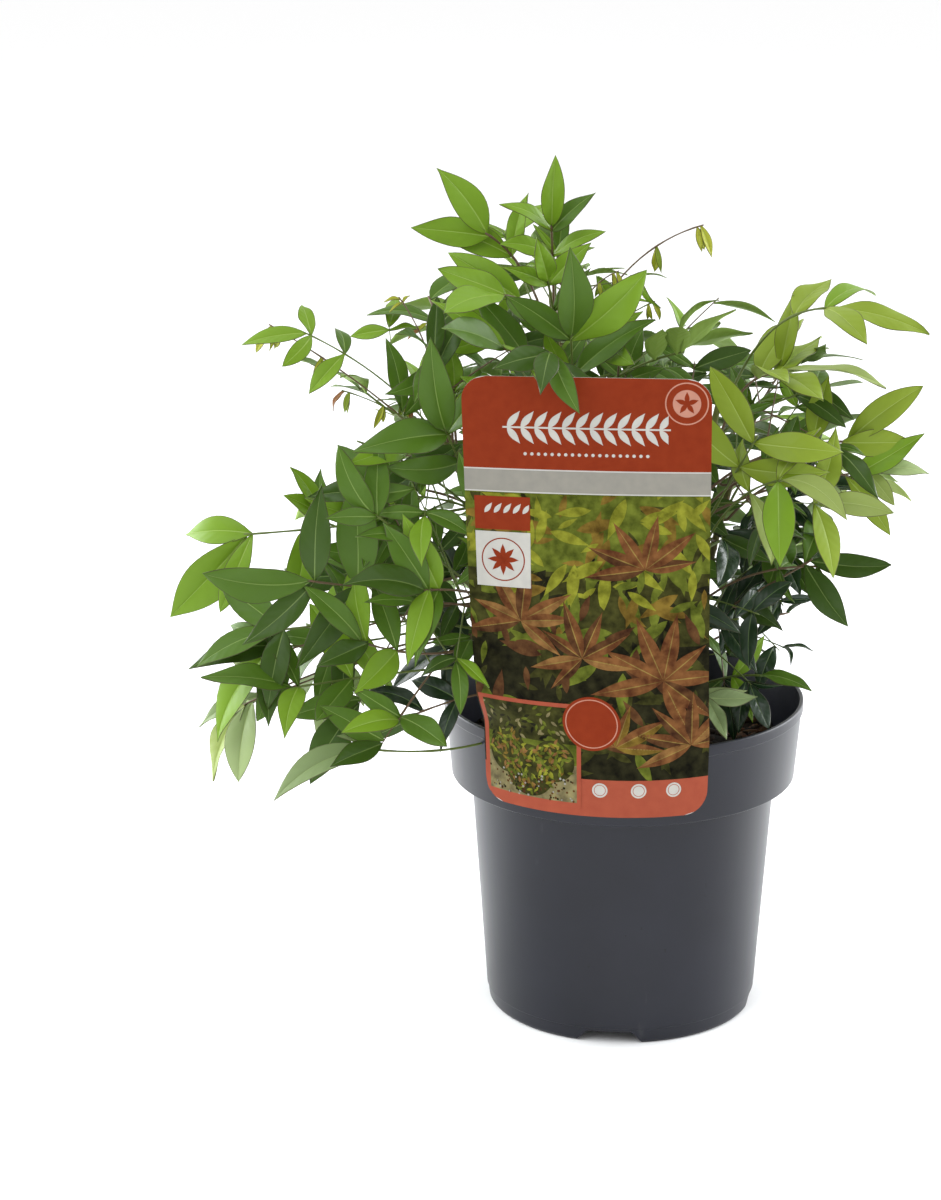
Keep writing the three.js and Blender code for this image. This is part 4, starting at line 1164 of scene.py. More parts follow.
class PLANT_OT_card(bpy.types.Operator):
    """Makes the picture card that hangs over the rim, and the strip that holds it"""
    bl_idname = "plant.card"
    bl_label = "Make the card"

    def execute(self, context):
        card = settings().card
        thickness = card.thickness / MM
        paper = Finish("card_board", card.paper, 0.5)
        paper.colour_by(paper.noise(40, 3), [(0.3, mixed(card.paper, BLACK, 0.05)), (0.7, card.paper)])
        paper.bump(paper.noise(700, 2), 0.1, 0.05)
        tall, columns = CARD_TOP - CARD_FOOT, int(CARD_WIDTH / INK_CELL) + 1
        heights = sorted({*cell_lines(0, tall), 0.1, 0.5, tall - 0.1, tall - 0.5})
        sheet = Shape()
        rows = []
        for height in heights:
            across = np.linspace(-1, 1, columns) * card_half_width(height)
            front = [card_point(x, height, thickness / 2) for x in across]
            back = [card_point(x, height, -thickness / 2) for x in across[::-1]]
            rows.append(front + back)
        first = sheet.grid(np.array(rows), 0, closed=True)
        for row, flip in ((0, False), (len(heights) - 1, True)):
            base = row * columns * 2
            front = base + np.arange(columns)
            back = base + columns * 2 - 1 - np.arange(columns)
            quads = np.stack([back[:-1], back[1:], front[1:], front[:-1]], -1)
            sheet.add_faces(first, quads[:, ::-1] if flip else quads, 0)
        finished(sheet.build("card_sheet", [paper.material], smooth=CARD_EDGE), "card", "plant_card")

        art = print_card(card)
        finished(art.shape.build("card_print", art.finishes), "card")

        strip = Shape()
        section = rounded([
            (85.9, HANGER_TOP, 0), (82.4, HANGER_TOP, 0.9), (80.2, HANGER_FOOT, 0),
            (79.4, HANGER_FOOT, 0), (81.6, HANGER_TOP + 0.7, 1.2), (85.9, HANGER_TOP + 0.7, 0),
        ], 3)
        aside = np.linspace(-HANGER_WIDTH / 2, HANGER_WIDTH / 2, HANGER_STEPS)
        turns = math.radians(CARD_TURN) + aside / RIM_CURVE
        rings = np.array([[(math.sin(t) * r, -math.cos(t) * r, z) for r, z in section] for t in turns])
        strip.solid(rings, 0, (rings[0].mean(0), rings[-1].mean(0)))
        finished(strip.build("card_strip", [paper.material], smooth=CARD_EDGE), "card")
        return {"FINISHED"}


# ---------------------------------------------------------------------------------------------
# Canes

def cane_curve(cane):
    """The bent line of a cane, from inside the potting mix to its tip."""
    start = np.array([*cane.foot, SOIL_TOP - SOCKET_DEPTH], float)
    end = np.array(cane.tip, float)
    elbow = start + (end - start) * CANE_ELBOW
    elbow[2] = (start[2] + end[2]) / 2
    return Bezier(start, elbow, end)


CANE_CURVES = [cane_curve(cane) for cane in CANES.values()]
CANE_SIDES, CANE_STEP = 16, 1.6
CANE_SLIMNESS = 0.94  # the relief stands on a core a little slimmer than the solid
CANE_END = [0.9, 0.72, 0.5, 0.25]  # shares of the radius over the last points
RING_SWELL, RING_WIDTH = 0.14, 0.07
SHEATHS_FROM, SHEATHS_TO = 0.16, 0.92
SHEATH_LENGTH, SHEATH_STEPS, SHEATH_SIDES = 9.0, 7, 8
SHEATH_STAND, SHEATH_FLARE = 0.35, 1.3  # how far it stands off its cane, and how much more at its tip
BARK_ROUGH, BARK_GRAIN = 0.05, 14
FLUTES, FLUTE_DEPTH = 5, 0.03
YOUNG_FROM, YOUNG_TO = 0.14, 0.3  # heights in metres between which the bark turns green


def cane_radius(share):
    return CANE_FOOT_RADIUS + (CANE_TIP_RADIUS - CANE_FOOT_RADIUS) * share


def bark_finish(cane):
    finish = Finish("cane_bark", cane.bark, 0.75, 0.35)
    height = finish.axis(finish.place(), "Z")
    finish.colour_by(finish.between(height, YOUNG_FROM, YOUNG_TO),
                     [(0.1, cane.bark), (0.9, cane.young_bark)])
    streaks = finish.noise(150, 4, stretch=(1, 1, 0.15))
    finish.overlay(streaks, 0.5, 0.75, 0.6, mixed(cane.bark, BLACK, 0.4))
    finish.bump(finish.noise(300, 3, stretch=(1, 1, 0.12)), 0.5, 0.4)
    return finish.material


def fluting(along, number):
    """How far the bark stands in or out round a cane, as shares of its radius."""
    angles = np.arange(CANE_SIDES) * 2 * math.pi / CANE_SIDES
    relief = []
    for a in angles:
        rough = noise.noise(Vector((math.cos(a) * 2, math.sin(a) * 2, along / BARK_GRAIN + number)))
        relief.append(BARK_ROUGH * rough + FLUTE_DEPTH * math.sin(FLUTES * a + number))
    return relief


class PLANT_OT_canes(bpy.types.Operator):
    """Grows the canes with their rings, fluted bark and dry sheaths"""
    bl_idname = "plant.canes"
    bl_label = "Make the canes"

    def execute(self, context):
        cane = settings().cane
        bark = bark_finish(cane)
        sheath = Finish("dry_sheath", (0.5, 0.39, 0.27), 0.8, 0.3)
        sheath.colour_by(sheath.noise(160, 3, stretch=(1, 1, 0.2)),
                         [(0.3, (0.34, 0.25, 0.18)), (0.7, (0.55, 0.44, 0.3))])
        sheath.bump(sheath.noise(260, 3, stretch=(1, 1, 0.1)), 0.5, 0.4)
        spacing = cane.rings / MM
        for number, (name, curve) in enumerate(zip(CANES, CANE_CURVES)):
            shape = Shape()
            length = np.linalg.norm(curve.end - curve.start)
            shares = np.linspace(0, 1, int(length / CANE_STEP))
            ring = (shares * length / spacing) % 1
            swell = 1 + RING_SWELL * np.exp(-((ring - 0.5) / RING_WIDTH) ** 2)
            radii = cane_radius(shares) * swell * CANE_SLIMNESS
            radii[-len(CANE_END):] *= CANE_END
            ripple = [fluting(share * length, number) for share in shares]
            tube(shape, curve.points(len(shares)), radii, CANE_SIDES, 0, ripple)
            for i in range(int(length / spacing)):
                share = (i + 0.5) * spacing / length
                if SHEATHS_FROM <= share <= SHEATHS_TO:
                    add_sheath(shape, curve, share, length, chance(number, i, 21) * 2 * math.pi)
            finished(shape.build(f"stem_{name}", [bark, sheath.material]), "cane", f"cane_{name}")
        return {"FINISHED"}


def add_sheath(shape, curve, share, length, turn):
    """A dry, clasping leaf base that stands a little off its cane."""
    tangent = curve.tangent(share)
    aside = squared_to(np.array([math.cos(turn), math.sin(turn), 0]), tangent)
    path, radii = [], []
    for t in np.linspace(0, 1, SHEATH_STEPS):
        off = SHEATH_STAND + SHEATH_FLARE * t * t
        path.append(curve.point(share + t * SHEATH_LENGTH / length) + aside * off)
        radii.append(cane_radius(share) * (1.02 - 0.5 * t) * (1 - 0.75 * t**3))
    tube(shape, np.array(path), radii, SHEATH_SIDES, 1)


# ---------------------------------------------------------------------------------------------
# Leaf rule

Site = namedtuple("Site", "stalk point shift direction length key turn")
Stalk = namedtuple("Stalk", "path joints key")
Plan = namedtuple("Plan", "leaf index facing sites stalks")
Pose = namedtuple("Pose", "root direction normal length site")


def leaf_curve(leaf):
    """The curve of a leaf's main stalk, and the way in which it leaves its cane."""
    cane = CANE_CURVES[leaf.cane]
    end = np.array(leaf.tip, float)
    share = 0.0
    while share < STALK_HIGHEST and cane.point(share)[2] < leaf.height:
        share += CANE_SEARCH
    foot = cane.point(share)
    outward = unit((end - foot) * (1, 1, 0))
    foot = foot + outward * (cane_radius(share) + STALK_RADIUS + STALK_CLEARANCE)
    middle = (foot + end) / 2 + UP * leaf.arch
    middle = middle - outward * STALK_BACKWARD * np.linalg.norm(end - foot)
    return Bezier(foot, middle, end), outward


def stalk_point(curve, along):
    """A place on the straight pieces of a solid main stalk."""
    step = min(int(along * STALK_STEPS), STALK_STEPS - 1)
    before, after = curve.point(step / STALK_STEPS), curve.point((step + 1) / STALK_STEPS)
    return before + (after - before) * (along * STALK_STEPS - step)


def sideways(direction, facing, degrees, hang):
    """The direction of a stalk or blade that leaves another to one side."""
    normal = squared_to(facing, direction)
    return unit(rotated(direction, normal, degrees) - UP * hang)


def three_blades(stalk, end, behind, shift, direction, length, key):
    """One blade at the end of a stalk and one on each side behind it."""
    flank = length * FLANK_LENGTH
    none = np.zeros(3)
    return [
        Site(stalk, end - direction * END_ROOT, none, direction, length, key, 0),
        Site(stalk, behind, shift, direction, flank, key + 1, -SIDE_TURN),
        Site(stalk, behind, shift, direction, flank, key + 3, SIDE_TURN),
    ]


def plan_leaf(leaf, index):
    """Side stalks and blade sites of one leaf."""
    curve, outward = leaf_curve(leaf)
    angle = math.radians(leaf.face)
    facing = np.array([0, -math.sin(angle), math.cos(angle)])
    sites, stalks, joints = [], [], []
    for pair in range(leaf.pairs):
        along = SIDE_START + SIDE_STEP * pair
        joints.append(along)
        for side in (-1, 1):
            key = SIDE_KEY + pair * 20 + side * 5
            foot = stalk_point(curve, along)
            turn = side * (SIDE_TURN + spread(VARY["side_turn"], index, key, 0))
            hang = leaf.hang * 0.5 + spread(VARY["side_hang"], index, key, 1)
            direction = sideways(curve.tangent(along), facing, turn, hang)
            length = leaf.blade * (SIDE_LENGTH - SIDE_SHORTER * pair)
            reach = length * (1 + spread(VARY["side_length"], index, key, 2))
            end = foot + direction * reach
            bend = Bezier(curve.point(along), (foot + end) / 2 + UP * reach * SIDE_ARCH, end)
            stalks.append(Stalk(bend.points(SIDE_POINTS), [1 - END_REACH / reach], key))
            behind = end - direction * END_REACH
            sites += three_blades(key, end, behind, np.zeros(3), direction,
                                  leaf.blade * SMALL_LENGTH, key)
    along = PAIR_START + PAIR_STEP * leaf.pairs
    joints.append(along)
    point = stalk_point(curve, along)
    for side in (-1, 1):
        sites.append(Site(0, point, curve.point(along) - point, curve.tangent(along),
                          leaf.blade * SMALL_LENGTH, PAIR_KEY + side, side * SIDE_TURN))
    last = 1 - END_REACH / np.linalg.norm(curve.end - curve.start)
    behind = stalk_point(curve, last)
    joints.append(last)
    sites += three_blades(0, curve.end, behind, curve.point(last) - behind, curve.tangent(1),
                          leaf.blade, END_KEY)
    root = curve.start - outward * (STALK_RADIUS + STALK_CLEARANCE + 1)
    path = np.concatenate([[root], curve.points(MAIN_POINTS)])
    stalks.insert(0, Stalk(path, joints, 0))
    return Plan(leaf, index, facing, sites, stalks)


def pose_blade(plan, site, attempt):
    """The pose that a blade takes at its site on the given try."""
    def draw(use, amount):
        return spread(amount, plan.index, site.key, attempt * 4 + use)
    wider = 1 + attempt * WIDER_EACH_TRY
    turn = site.turn + draw(0, VARY["turn"]) * wider
    hang = plan.leaf.hang * (1 + draw(1, VARY["hang"])) + draw(1, VARY["lift"])
    direction = sideways(site.direction, plan.facing, turn, hang)
    normal = rotated(squared_to(plan.facing, direction), direction, draw(2, VARY["roll"]) * wider)
    length = site.length * (1 + draw(3, VARY["length"])) * (1 - SHORTER_EACH_TRY * attempt)
    return Pose(site.point, direction, normal, length, site)


def tip_of(pose):
    return pose.root + pose.direction * pose.length - pose.normal * BLADE_DROOP * pose.length


def corners_of(node):
    """The corners of a solid, to look places up in."""
    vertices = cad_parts[node].data.vertices
    tree = KDTree(len(vertices))
    for i, vertex in enumerate(vertices):
        tree.insert(vertex.co, i)
    tree.balance()
    return tree


def grown_blades(plan, node):
    """The poses that the blades of a leaf have in its solid."""
    tree = corners_of(node)
    poses = []
    for site in plan.sites:
        for attempt in range(TRIES):
            pose = pose_blade(plan, site, attempt)
            if tree.find(tip_of(pose) * MM)[2] < TIP_MATCH * MM:
                poses.append(pose._replace(root=pose.root + site.shift))
                break
    return poses


# ---------------------------------------------------------------------------------------------
# Leaflets and stalks

# pale and lit paint the light that comes through thin leaves; shade paints the shade inside the crown
TONES = ["pale", "lit", "fresh", "bright", "mid", "deep", "shade", "slate", "grey", "young", "flush"]
# The tones that some leaflets of a leaf have in place of its own
NEIGHBOURS = {
    "pale": "grey lit", "lit": "fresh grey", "fresh": "bright lit", "bright": "bright mid",
    "mid": "bright deep", "deep": "mid mid", "shade": "deep slate", "slate": "shade deep",
    "grey": "mid pale", "young": "fresh flush", "flush": "young young",
}
NEIGHBOUR_SHARE = 0.16  # of the leaflets that each neighbour gets
ROUGHNESS = {"slate": 0.24, "shade": 0.36, "deep": 0.4, "young": 0.45, "flush": 0.45}
USUAL_ROUGHNESS = 0.46
SHEEN_TONES = ("shade", "slate")
LEAFLET_ROWS, INNER_ROWS = 15, 11
ACROSS = [-1, -0.72, -0.42, -0.16]  # columns from the edge to the midrib
RIB = 0.26  # half the width of the midrib
RIB_TINT = (0.72, 0.78, 0.5)
RIB_DEPTH = 0.4  # how far the midrib stands out below, at the leaflet's foot
GROOVE, GROOVE_WIDTH = 0.1, 0.01  # over the midrib
ROW_CROWDING = 0.94  # the rows lie closer towards the tip
CURL_START = 0.45  # share of the length from which the tip curls
WAVES, WAVE_LAG = 1.6, 0.9  # along the edges, and how far one edge's lie behind the other's
# How leaflets differ: each middle value, its spread and its draw
HABIT = {
    "widest": (0.47, 0.06, 31), "taper": (2.1, 0.35, 39), "breadth": (1, 0.2, 32),
    "folding": (1, 0.6, 33), "bulge": (0.06, 0.06, 34), "sickle": (0, 0.05, 35),
    "curl": (0, 0.16, 40), "hook": (0, 0.14, 44), "twist": (0, 16, 36), "wave": (0, 0.035, 37),
}
PHASE_USE = 38
EDGE = 0.3  # width of the coloured rim
FOOT_WIDTH, TIP_WIDTH = 0.32, 0.05  # least half widths, less towards the tip
YOUNG_LENGTH = 18  # shorter leaflets are still narrow and folded
YOUNG_WIDTH, YOUNG_FOLD = 0.7, 2.5  # times those of grown ones
VEIN_PAIRS = 7
STALK_TAPER = 0.42
JOINT_SWELL, JOINT_WIDTH = 0.45, 0.035
FLUSH_SHARE = 0.45  # of the stalks that are purple-brown
FEWEST_BLADES = 3
STALK_SIDES = 8
TWIST_STILL = 0.3  # share of the length at which a leaflet's twist is none
BELLY_AT, BELLY_LIFT, BLADE_START = 0.42, 0.03, 1.5  # of the few corners that stand for a leaflet
RIBBON_HALF = 0.6  # half the width of the strip that stands for a stalk
GAP_SHARES = (0.5, 0.8)  # the places along a leaflet that are kept out of gaps
FILLING_KEY = 100  # index of the first filling leaf
BACK_FROM, TOP_FROM, LEFT_UP_TO = 40, 300, -60  # the crown's parts, by where a leaf's stalk ends
TONE_USE, FLUSH_USE = 41, 42
# Radius of a leaf's main stalk and of its side stalks, as shares of the stalk radius
STALK_SHARES = {"grown": (1, 0.62), "young": (0.7, 0.434), "inner": (0.95, 0.6), "hanging": (0.6, 0.6)}


def tone_slots(leaf):
    """Finishes of the leaflets: top, midrib, edge and underside for each tone."""
    finishes, slots = [], {}
    for tone in TONES:
        colour = tuple(getattr(leaf, tone))
        roughness = ROUGHNESS.get(tone, USUAL_ROUGHNESS)
        slots[tone] = len(finishes)
        top = Finish(f"leaf_{tone}", colour, roughness, 0.42 if tone in SHEEN_TONES else 0.24)
        top.bump(top.veins(VEIN_PAIRS), 0.2, 0.14)
        top.bump(top.noise(380, 3), 0.12, 0.08)
        top.bump(top.noise(95, 2), 0.3, 0.5)
        rib = Finish(f"midrib_{tone}", mixed(colour, RIB_TINT, 0.35), roughness + 0.05, 0.4)
        edge = Finish(f"edge_{tone}", mixed(colour, leaf.edge, 0.65), roughness + 0.05, 0.3)
        for finish in (rib, edge):
            finish.bump(finish.noise(600, 2), 0.1, 0.05)
        under = Finish(f"underside_{tone}", mixed(colour, leaf.underside, 0.4), 0.6, 0.35)
        under.bump(under.veins(VEIN_PAIRS), 0.3, 0.12)
        finishes += [finish.material for finish in (top, rib, edge, under)]
    return finishes, slots


class Habit:
    """How one leaflet grows: its width, folds and bends."""

    def __init__(self, leaf, length, key):
        self.length, self.thick = length, leaf.thickness / MM
        for name, value in drawn(HABIT, *key).items():
            setattr(self, name, value)
        self.width = length * leaf.width * self.breadth / 2
        self.fold = leaf.fold * self.folding
        if length < YOUNG_LENGTH:
            self.width, self.fold = self.width * YOUNG_WIDTH, self.fold * YOUNG_FOLD
        self.phase = chance(*key, PHASE_USE) * 2 * math.pi

    def offsets(self, share):
        """How far a place along the midrib lies up from and aside of a straight one."""
        belly, end = 4 * share * (1 - share), max(share - CURL_START, 0) ** 2
        up = self.bulge * belly - BLADE_DROOP * share**2 + self.curl * end
        return up * self.length, (self.sickle * belly + self.hook * end) * self.length

    def section(self, share):
        """Distances aside and lifts of the points round the leaflet, the upper side first."""
        half = FOOT_WIDTH * (1 - share) + TIP_WIDTH
        half += self.width * outline_width(share, self.widest, self.taper)
        rib = min(RIB * (1.25 - share), half * 0.4)
        edge = max(half - EDGE, half * 0.75)
        left = [v * edge for v in ACROSS]
        upper = [-half, *left, -rib, 0, rib, *(-v for v in left[::-1]), half]
        lower = [half, half * 0.5, rib * 1.6, -rib * 1.6, -half * 0.5, -half]
        lifts = []
        for number, v in enumerate(upper + lower):
            reach = abs(v) / max(half, 0.01)
            ripple = math.sin(2 * math.pi * WAVES * share + self.phase + (WAVE_LAG if v > 0 else 0))
            lift = self.fold * abs(v) * (1 - 0.42 * reach) + self.wave * self.length * reach**2 * ripple
            skin = self.thick / 2 * (1 - reach**3 * 0.6)
            if number < len(upper):
                lift += skin - (GROOVE if abs(v) < GROOVE_WIDTH else 0)
            else:
                lift -= skin + (RIB_DEPTH * (1 - share) if abs(v) < min(rib * 1.7, half) else 0)
            lifts.append(lift)
        return upper + lower, lifts


TOP, MIDRIB, RIM, UNDER = range(4)  # the finishes of each tone
# Finishes round a leaflet, in the order of the reversed section
SKIN = [UNDER] * 5 + [RIM] * 2 + [TOP] * 4 + [MIDRIB] * 2 + [TOP] * 4 + [RIM] * 2


def add_leaflet(shape, pose, index, leaf, first_slot, row_count):
    """One leaflet: a thin closed blade folded along its midrib, with a stiff rib below."""
    habit = Habit(leaf, pose.length, (index, pose.site.key))
    across = np.cross(pose.direction, pose.normal)
    rows, places = [], []
    for share in np.linspace(0, 1, row_count) ** ROW_CROWDING:
        up, aside = habit.offsets(share)
        middle = pose.root + pose.direction * share * pose.length + pose.normal * up + across * aside
        roll = habit.twist * (share - TWIST_STILL)
        sideward = rotated(across, pose.direction, roll)
        upward = rotated(pose.normal, pose.direction, roll)
        section = list(zip(*habit.section(share)))[::-1]
        rows.append([middle + sideward * v + upward * lift for v, lift in section])
        places.append([(share, v / max(habit.width, 0.01)) for v, _ in section])
    rows = np.array(rows)
    shape.solid(rows, [first_slot + finish for finish in SKIN], (rows[0].mean(0), rows[-1].mean(0)),
                (first_slot + MIDRIB, first_slot + RIM), np.array(places))


def picked_tone(tone, index, key):
    """The tone of a leaflet: mostly its leaf's own, sometimes a neighbour."""
    step = int(chance(index, key, TONE_USE) / NEIGHBOUR_SHARE)
    return (*NEIGHBOURS[tone].split(), tone)[min(step, 2)]


def add_stalk(shape, stalk, radius, slot):
    """A thin stalk that swells where others leave it."""
    shares = np.linspace(0, 1, len(stalk.path))
    radii = radius * (1 - STALK_TAPER * shares)
    for joint in stalk.joints:
        radii = radii * (1 + JOINT_SWELL * np.exp(-((shares - joint) / JOINT_WIDTH) ** 2))
    tube(shape, stalk.path, radii, STALK_SIDES, slot)


def stalk_finish(name, colour):
    """A finely streaked finish."""
    finish = Finish(name, colour, 0.5, 0.4)
    finish.bump(finish.noise(500, 2, stretch=(1, 1, 0.3)), 0.3, 0.1)
    return finish.material


class Foliage:
    """Leaflets gathered into a piece for each part of the crown, and the stalks they stand on."""

    def __init__(self, green_name, flush_name):
        self.leaf, self.cane = settings().leaf, settings().cane
        self.finishes, self.slots = tone_slots(self.leaf)
        self.barks = [stalk_finish(green_name, self.cane.stalk),
                      stalk_finish(flush_name, self.cane.stalk_flush)]
        self.regions, self.stalks = {}, Shape()

    def grow(self, plan, poses, region, row_count, age):
        """Adds a leaf: its leaflets, and the stalks that still carry one."""
        shape = self.regions.setdefault(region, Shape())
        for pose in poses:
            tone = picked_tone(plan.leaf.tone, plan.index, pose.site.key)
            add_leaflet(shape, pose, plan.index, self.leaf, self.slots[tone], row_count)
        carrying = {pose.site.stalk for pose in poses} | {0}
        main_share, side_share = STALK_SHARES[age]
        for stalk in plan.stalks:
            if stalk.key in carrying:
                radius = self.cane.stalk_radius / MM * (side_share if stalk.key else main_share)
                flushed = chance(plan.index, stalk.key, FLUSH_USE) < FLUSH_SHARE
                add_stalk(self.stalks, stalk, radius, int(flushed))

    def build(self, stalk_name, young_region, replaced):
        """Makes the pieces; replaced names the nodes that each region stands for."""
        for region, shape in self.regions.items():
            piece = shape.build(f"leaflets_{region}", self.finishes)
            finished(piece, "shoot" if region == young_region else "leaf", *replaced.get(region, ()))
        finished(self.stalks.build(stalk_name, self.barks), "cane")


def in_gap(pose):
    """Whether a leaflet would close one of the crown's gaps."""
    if pose.length < YOUNG_LENGTH:
        return False
    for share in GAP_SHARES:
        x, y, z = pose.root + pose.direction * pose.length * share
        if any(math.hypot(x - gap.x, z + y * LOOK_DOWN - gap.height) < gap.radius for gap in GAPS):
            return True
    return False


class Growth:
    """What is in the way of new leaves: the solids, and the leaves that were added so far."""

    def __init__(self):
        points, faces = [], []
        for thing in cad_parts.values():
            faces += [[corner + len(points) for corner in f.vertices] for f in thing.data.polygons]
            points += [v.co / MM for v in thing.data.vertices]
        self.trees = [BVHTree.FromPolygons(points, faces)]

    def blocks(self, points, faces):
        tree = BVHTree.FromPolygons([Vector(p) for p in points], faces)
        return any(tree.overlap(other) for other in self.trees)

    def add(self, pieces):
        points, faces = [], []
        for corners, sides in pieces:
            faces += [[i + len(points) for i in side] for side in sides]
            points += [Vector(p) for p in corners]
        self.trees.append(BVHTree.FromPolygons(points, faces))

    def fitted(self, plan, width):
        """The poses of a new leaf's blades that find room; with enough of them it is in the way too."""
        main = stalk_ribbon(plan.stalks[0].path[MAIN_HIDDEN:])
        if self.blocks(*main):
            return []
        pieces, poses, grown = [main], [], {0}
        for stalk in plan.stalks[1:]:
            ribbon = stalk_ribbon(stalk.path[SIDE_HIDDEN:])
            if not self.blocks(*ribbon):
                pieces.append(ribbon)
                grown.add(stalk.key)
        for site in plan.sites:
            for attempt in range(TRIES if site.stalk in grown else 0):
                pose = pose_blade(plan, site, attempt)
                outline = blade_outline(pose, width)
                if not in_gap(pose) and not self.blocks(*outline):
                    pieces.append(outline)
                    poses.append(pose._replace(root=pose.root + site.shift))
                    break
        if len(poses) >= FEWEST_BLADES:
            self.add(pieces)
        return poses


def blade_outline(pose, width):
    """A few corners that stand for a leaflet."""
    across = np.cross(pose.direction, pose.normal) * pose.length * width / 2
    belly = pose.root + pose.direction * pose.length * BELLY_AT + pose.normal * pose.length * BELLY_LIFT
    start = pose.root + pose.direction * BLADE_START
    return [start, belly - across, tip_of(pose), belly + across], [(0, 1, 3), (1, 2, 3)]


def stalk_ribbon(path):
    """A narrow strip that stands for a stalk."""
    aside = unit(np.cross(unit(path[-1] - path[0]), UP)) * RIBBON_HALF
    points = [p + side * aside for p in path for side in (-1, 1)]
    faces = [(2 * i, 2 * i + 1, 2 * i + 3, 2 * i + 2) for i in range(len(path) - 1)]
    return points, faces


def filling_leaves():
    """Leaves that fill the crown: each cane carries them round it by the golden angle."""
    for number, row in enumerate(FILLINGS.values()):
        curve = CANE_CURVES[number]
        for i in range(row.count):
            height = row.low + (row.high - row.low) * (i + 0.5) / row.count
            places = np.linspace(0, 1, CANE_PLACES)
            share = next((t for t in places if curve.point(t)[2] >= height), 1.0)
            turn = math.radians(GOLDEN_TURN * i + CANE_TURN * number)
            outward = np.array([math.cos(turn), math.sin(turn), 0])
            own = drawn(FILLING_HABIT, number, i)
            reach = row.reach * own["reach"]
            end = curve.point(share) + outward * reach + UP * reach * own["rise"]
            face = FILLING_FACE - FILLING_FORWARD * outward[1]
            # painted shade: the lower leaves of a cane take the darker tone
            tone = row.lower if (i + 0.5) / row.count < own["lower"] else row.upper
            yield Leaf(number, height, tuple(end), FILLING_ARCH, face, own["blade"], own["hang"], 1,
                       tone)
        yield TUFT._replace(cane=number, height=curve.end[2], tip=tuple(curve.end + TUFT.tip))
    yield from SPRAYS.values()
    yield from SPRIGS.values()


def crown_region(leaf):
    """The part of the crown that a leaf belongs to."""
    x, y, z = leaf.tip
    if y > BACK_FROM:
        return "back"
    if z > TOP_FROM:
        return "top"
    return "left" if x < LEFT_UP_TO else "right"


class PLANT_OT_leaves(bpy.types.Operator):
    """Grows every leaf by the solids' own rule: stalks, side stalks and folded leaflets"""
    bl_idname = "plant.leaves"
    bl_label = "Make the leaves"

    def execute(self, context):
        foliage, replaced = Foliage("stalk_green", "stalk_flush"), {}
        for index, (node, row) in enumerate(LEAVES.items()):
            plan = plan_leaf(row, index)
            if node in LOOSE:
                poses = [pose_blade(plan, site, 0) for site in plan.sites]
            else:
                poses = grown_blades(plan, node)
            if not poses:
                raise RuntimeError(f"no blade of {node} was found in its solid")
            young = node.startswith("shoot")
            region = "young" if young else crown_region(row)
            replaced.setdefault(region, []).append(node)
            foliage.grow(plan, [pose for pose in poses if not in_gap(pose)], region, LEAFLET_ROWS,
                         "young" if young else "grown")
        foliage.build("leaf_stalks", "young", replaced)
        return {"FINISHED"}


class PLANT_OT_filling(bpy.types.Operator):
    """Fills the inside of the crown with more leaves, kept clear of all that stands"""
    bl_idname = "plant.filling"
    bl_label = "Fill the crown"

    def execute(self, context):
        foliage, growth = Foliage("stalk_inner", "stalk_inner_flush"), Growth()
        rows = list(enumerate(filling_leaves(), FILLING_KEY))
        outer = len(SPRAYS) + len(SPRIGS)  # these come last in the rows and find their place first
        for index, row in rows[-outer:] + rows[:-outer]:
            plan = plan_leaf(row, index)
            poses = growth.fitted(plan, foliage.leaf.width)
            if len(poses) < FEWEST_BLADES:
                continue
            young = row.blade < YOUNG_LENGTH
            region = "hanging" if young else f"inner_{crown_region(row)}"
            foliage.grow(plan, poses, region, INNER_ROWS, "hanging" if young else "inner")
        foliage.build("inner_stalks", "hanging", {})
        return {"FINISHED"}


# ---------------------------------------------------------------------------------------------
# Stage

CAMERA_PLACE = (-72.5, -1600.0, 664.8)
CAMERA_PITCH = 16.26  # degrees down from level
CAMERA_LENS = 106.35  # focal length in millimetres
VIEW_END = 100  # metres that the camera sees
FLOOR_SPAN = (-12000, 12000)
SKY_TURN = (-0.9, 0.1)  # the even light grows between these depths, from the front backwards
LAMPS = {  # place, target and size in millimetres
    "key": ((-900, -1100, 1500), (-30, 0, 220), 1200),
    "fill": ((1300, -700, 800), (-30, 0, 200), 1200),
    "left_side": ((-1500, 600, 500), (-30, 0, 200), 1400),
    "right_side": ((1450, 600, 500), (-30, 0, 200), 1400),
}


def aim(thing, place, target):
    """Places a lamp and turns it to its target; both are in millimetres."""
    thing.location = Vector(place) * MM
    thing.rotation_euler = (Vector(target) - Vector(place)).to_track_quat("-Z", "Y").to_euler()


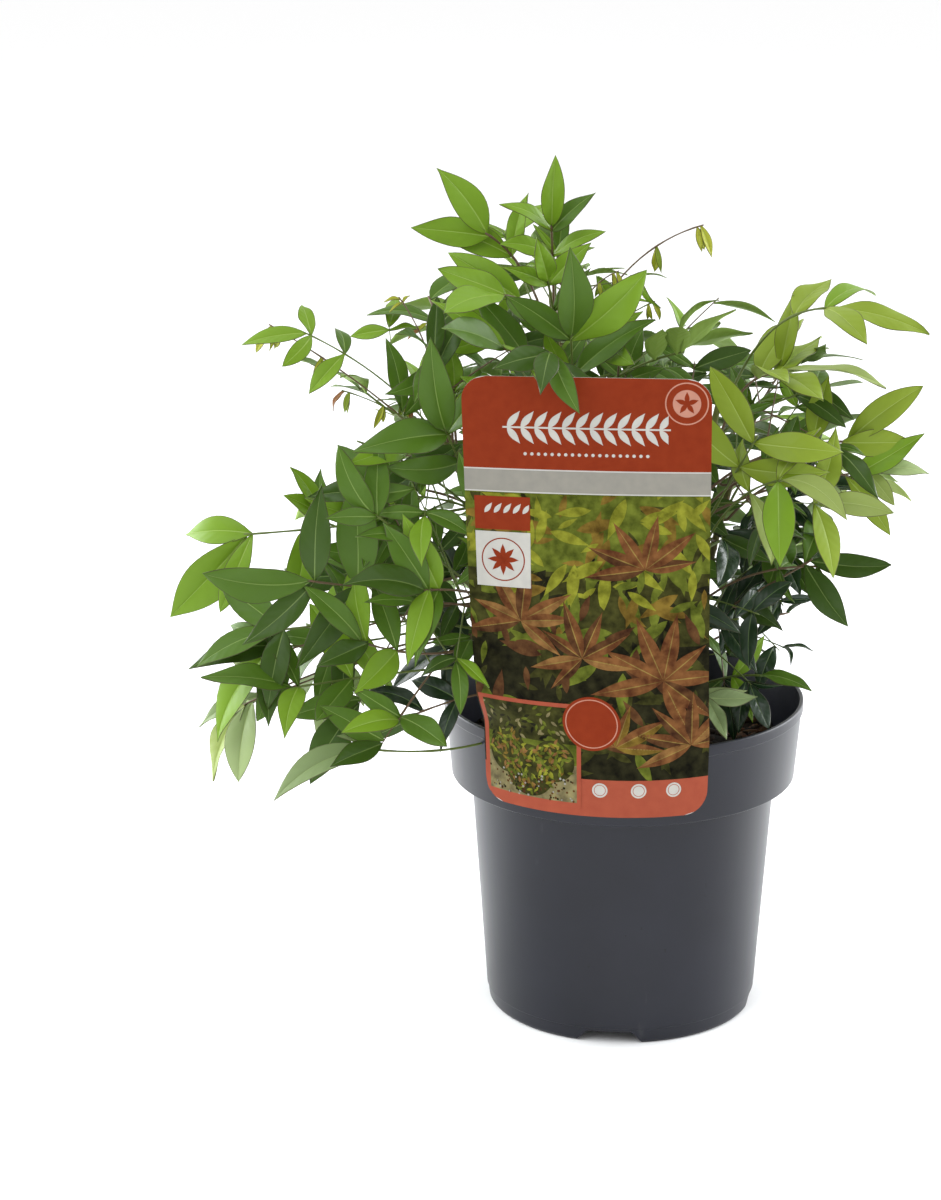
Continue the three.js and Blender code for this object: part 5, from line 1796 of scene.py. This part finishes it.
class PLANT_OT_stage(bpy.types.Operator):
    """Sets the pale floor, the even studio light, the lamps and the camera"""
    bl_idname = "plant.stage"
    bl_label = "Make the stage"

    def execute(self, context):
        stage = settings().stage
        scene = context.scene
        scene.view_settings.view_transform = "Standard"
        world = bpy.data.worlds.new("studio")
        scene.world = world
        world.use_nodes = True
        light = Nodes(world.node_tree)
        depth = light.axis(light.node("ShaderNodeTexCoord").outputs["Generated"], "Y")
        strength = light.between(depth, *SKY_TURN, stage.sky * stage.front, stage.sky)
        light.link(strength, light.tree.nodes["Background"].inputs["Color"])

        floor = Shape()
        floor.grid(np.array([[(x, y, 0) for x in FLOOR_SPAN] for y in FLOOR_SPAN]), 0)
        pale = Finish("floor", stage.floor, 0.8, 0.1)
        pale.bump(pale.noise(300, 2), 0.02, 0.05)
        floor.build("floor", [pale.material])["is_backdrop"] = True

        powers = {"key": stage.key, "fill": stage.fill, "left_side": stage.side, "right_side": stage.side}
        for name, power in powers.items():
            place, target, size = LAMPS[name]
            lamp = bpy.data.lights.new(f"{name}_lamp", "AREA")
            lamp.energy, lamp.size, lamp.color = power, size * MM, stage.tint
            thing = bpy.data.objects.new(f"{name}_lamp", lamp)
            scene.collection.objects.link(thing)
            aim(thing, place, target)

        camera = bpy.data.objects.new("camera", bpy.data.cameras.new("camera"))
        scene.collection.objects.link(camera)
        camera.location = Vector(CAMERA_PLACE) * MM
        camera.rotation_euler = (math.radians(90 - CAMERA_PITCH), 0, 0)
        camera.data.lens = CAMERA_LENS
        camera.data.clip_end = VIEW_END
        scene.camera = camera
        return {"FINISHED"}


# ---------------------------------------------------------------------------------------------
# Panel

OPERATORS = [PLANT_OT_pot, PLANT_OT_soil, PLANT_OT_card, PLANT_OT_canes, PLANT_OT_leaves,
             PLANT_OT_filling, PLANT_OT_stage]


class PLANT_PT_panel(bpy.types.Panel):
    """Lists the pieces of the plant and their settings"""
    bl_label = "Heavenly bamboo"
    bl_idname = "PLANT_PT_panel"
    bl_space_type = "VIEW_3D"
    bl_region_type = "UI"
    bl_category = "Plant"

    def draw(self, context):
        for operator in OPERATORS:
            self.layout.operator(operator.bl_idname)
        for group in PlantSettings.__annotations__:
            box = self.layout.box()
            box.label(text=group.capitalize())
            values = getattr(context.scene.plant_settings, group)
            for name in values.__annotations__:
                box.prop(values, name)


CLASSES = [PotSettings, SoilSettings, CardSettings, CaneSettings, LeafSettings, StageSettings,
           PlantSettings, *OPERATORS, PLANT_PT_panel]


def register():
    for made in CLASSES:
        bpy.utils.register_class(made)
    bpy.types.Scene.plant_settings = PointerProperty(type=PlantSettings)


def unregister():
    del bpy.types.Scene.plant_settings
    for made in reversed(CLASSES):
        bpy.utils.unregister_class(made)


def main():
    register()
    bpy.ops.plant.stage()
    bpy.ops.plant.pot()
    bpy.ops.plant.soil()
    bpy.ops.plant.card()
    bpy.ops.plant.canes()
    bpy.ops.plant.leaves()
    bpy.ops.plant.filling()
    boxes = {"cad": CAD_BOX, "visual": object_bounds()}
    {name: [list(corner) for corner in box] for name, box in boxes.items()}


if __name__ == "__main__":
    main()
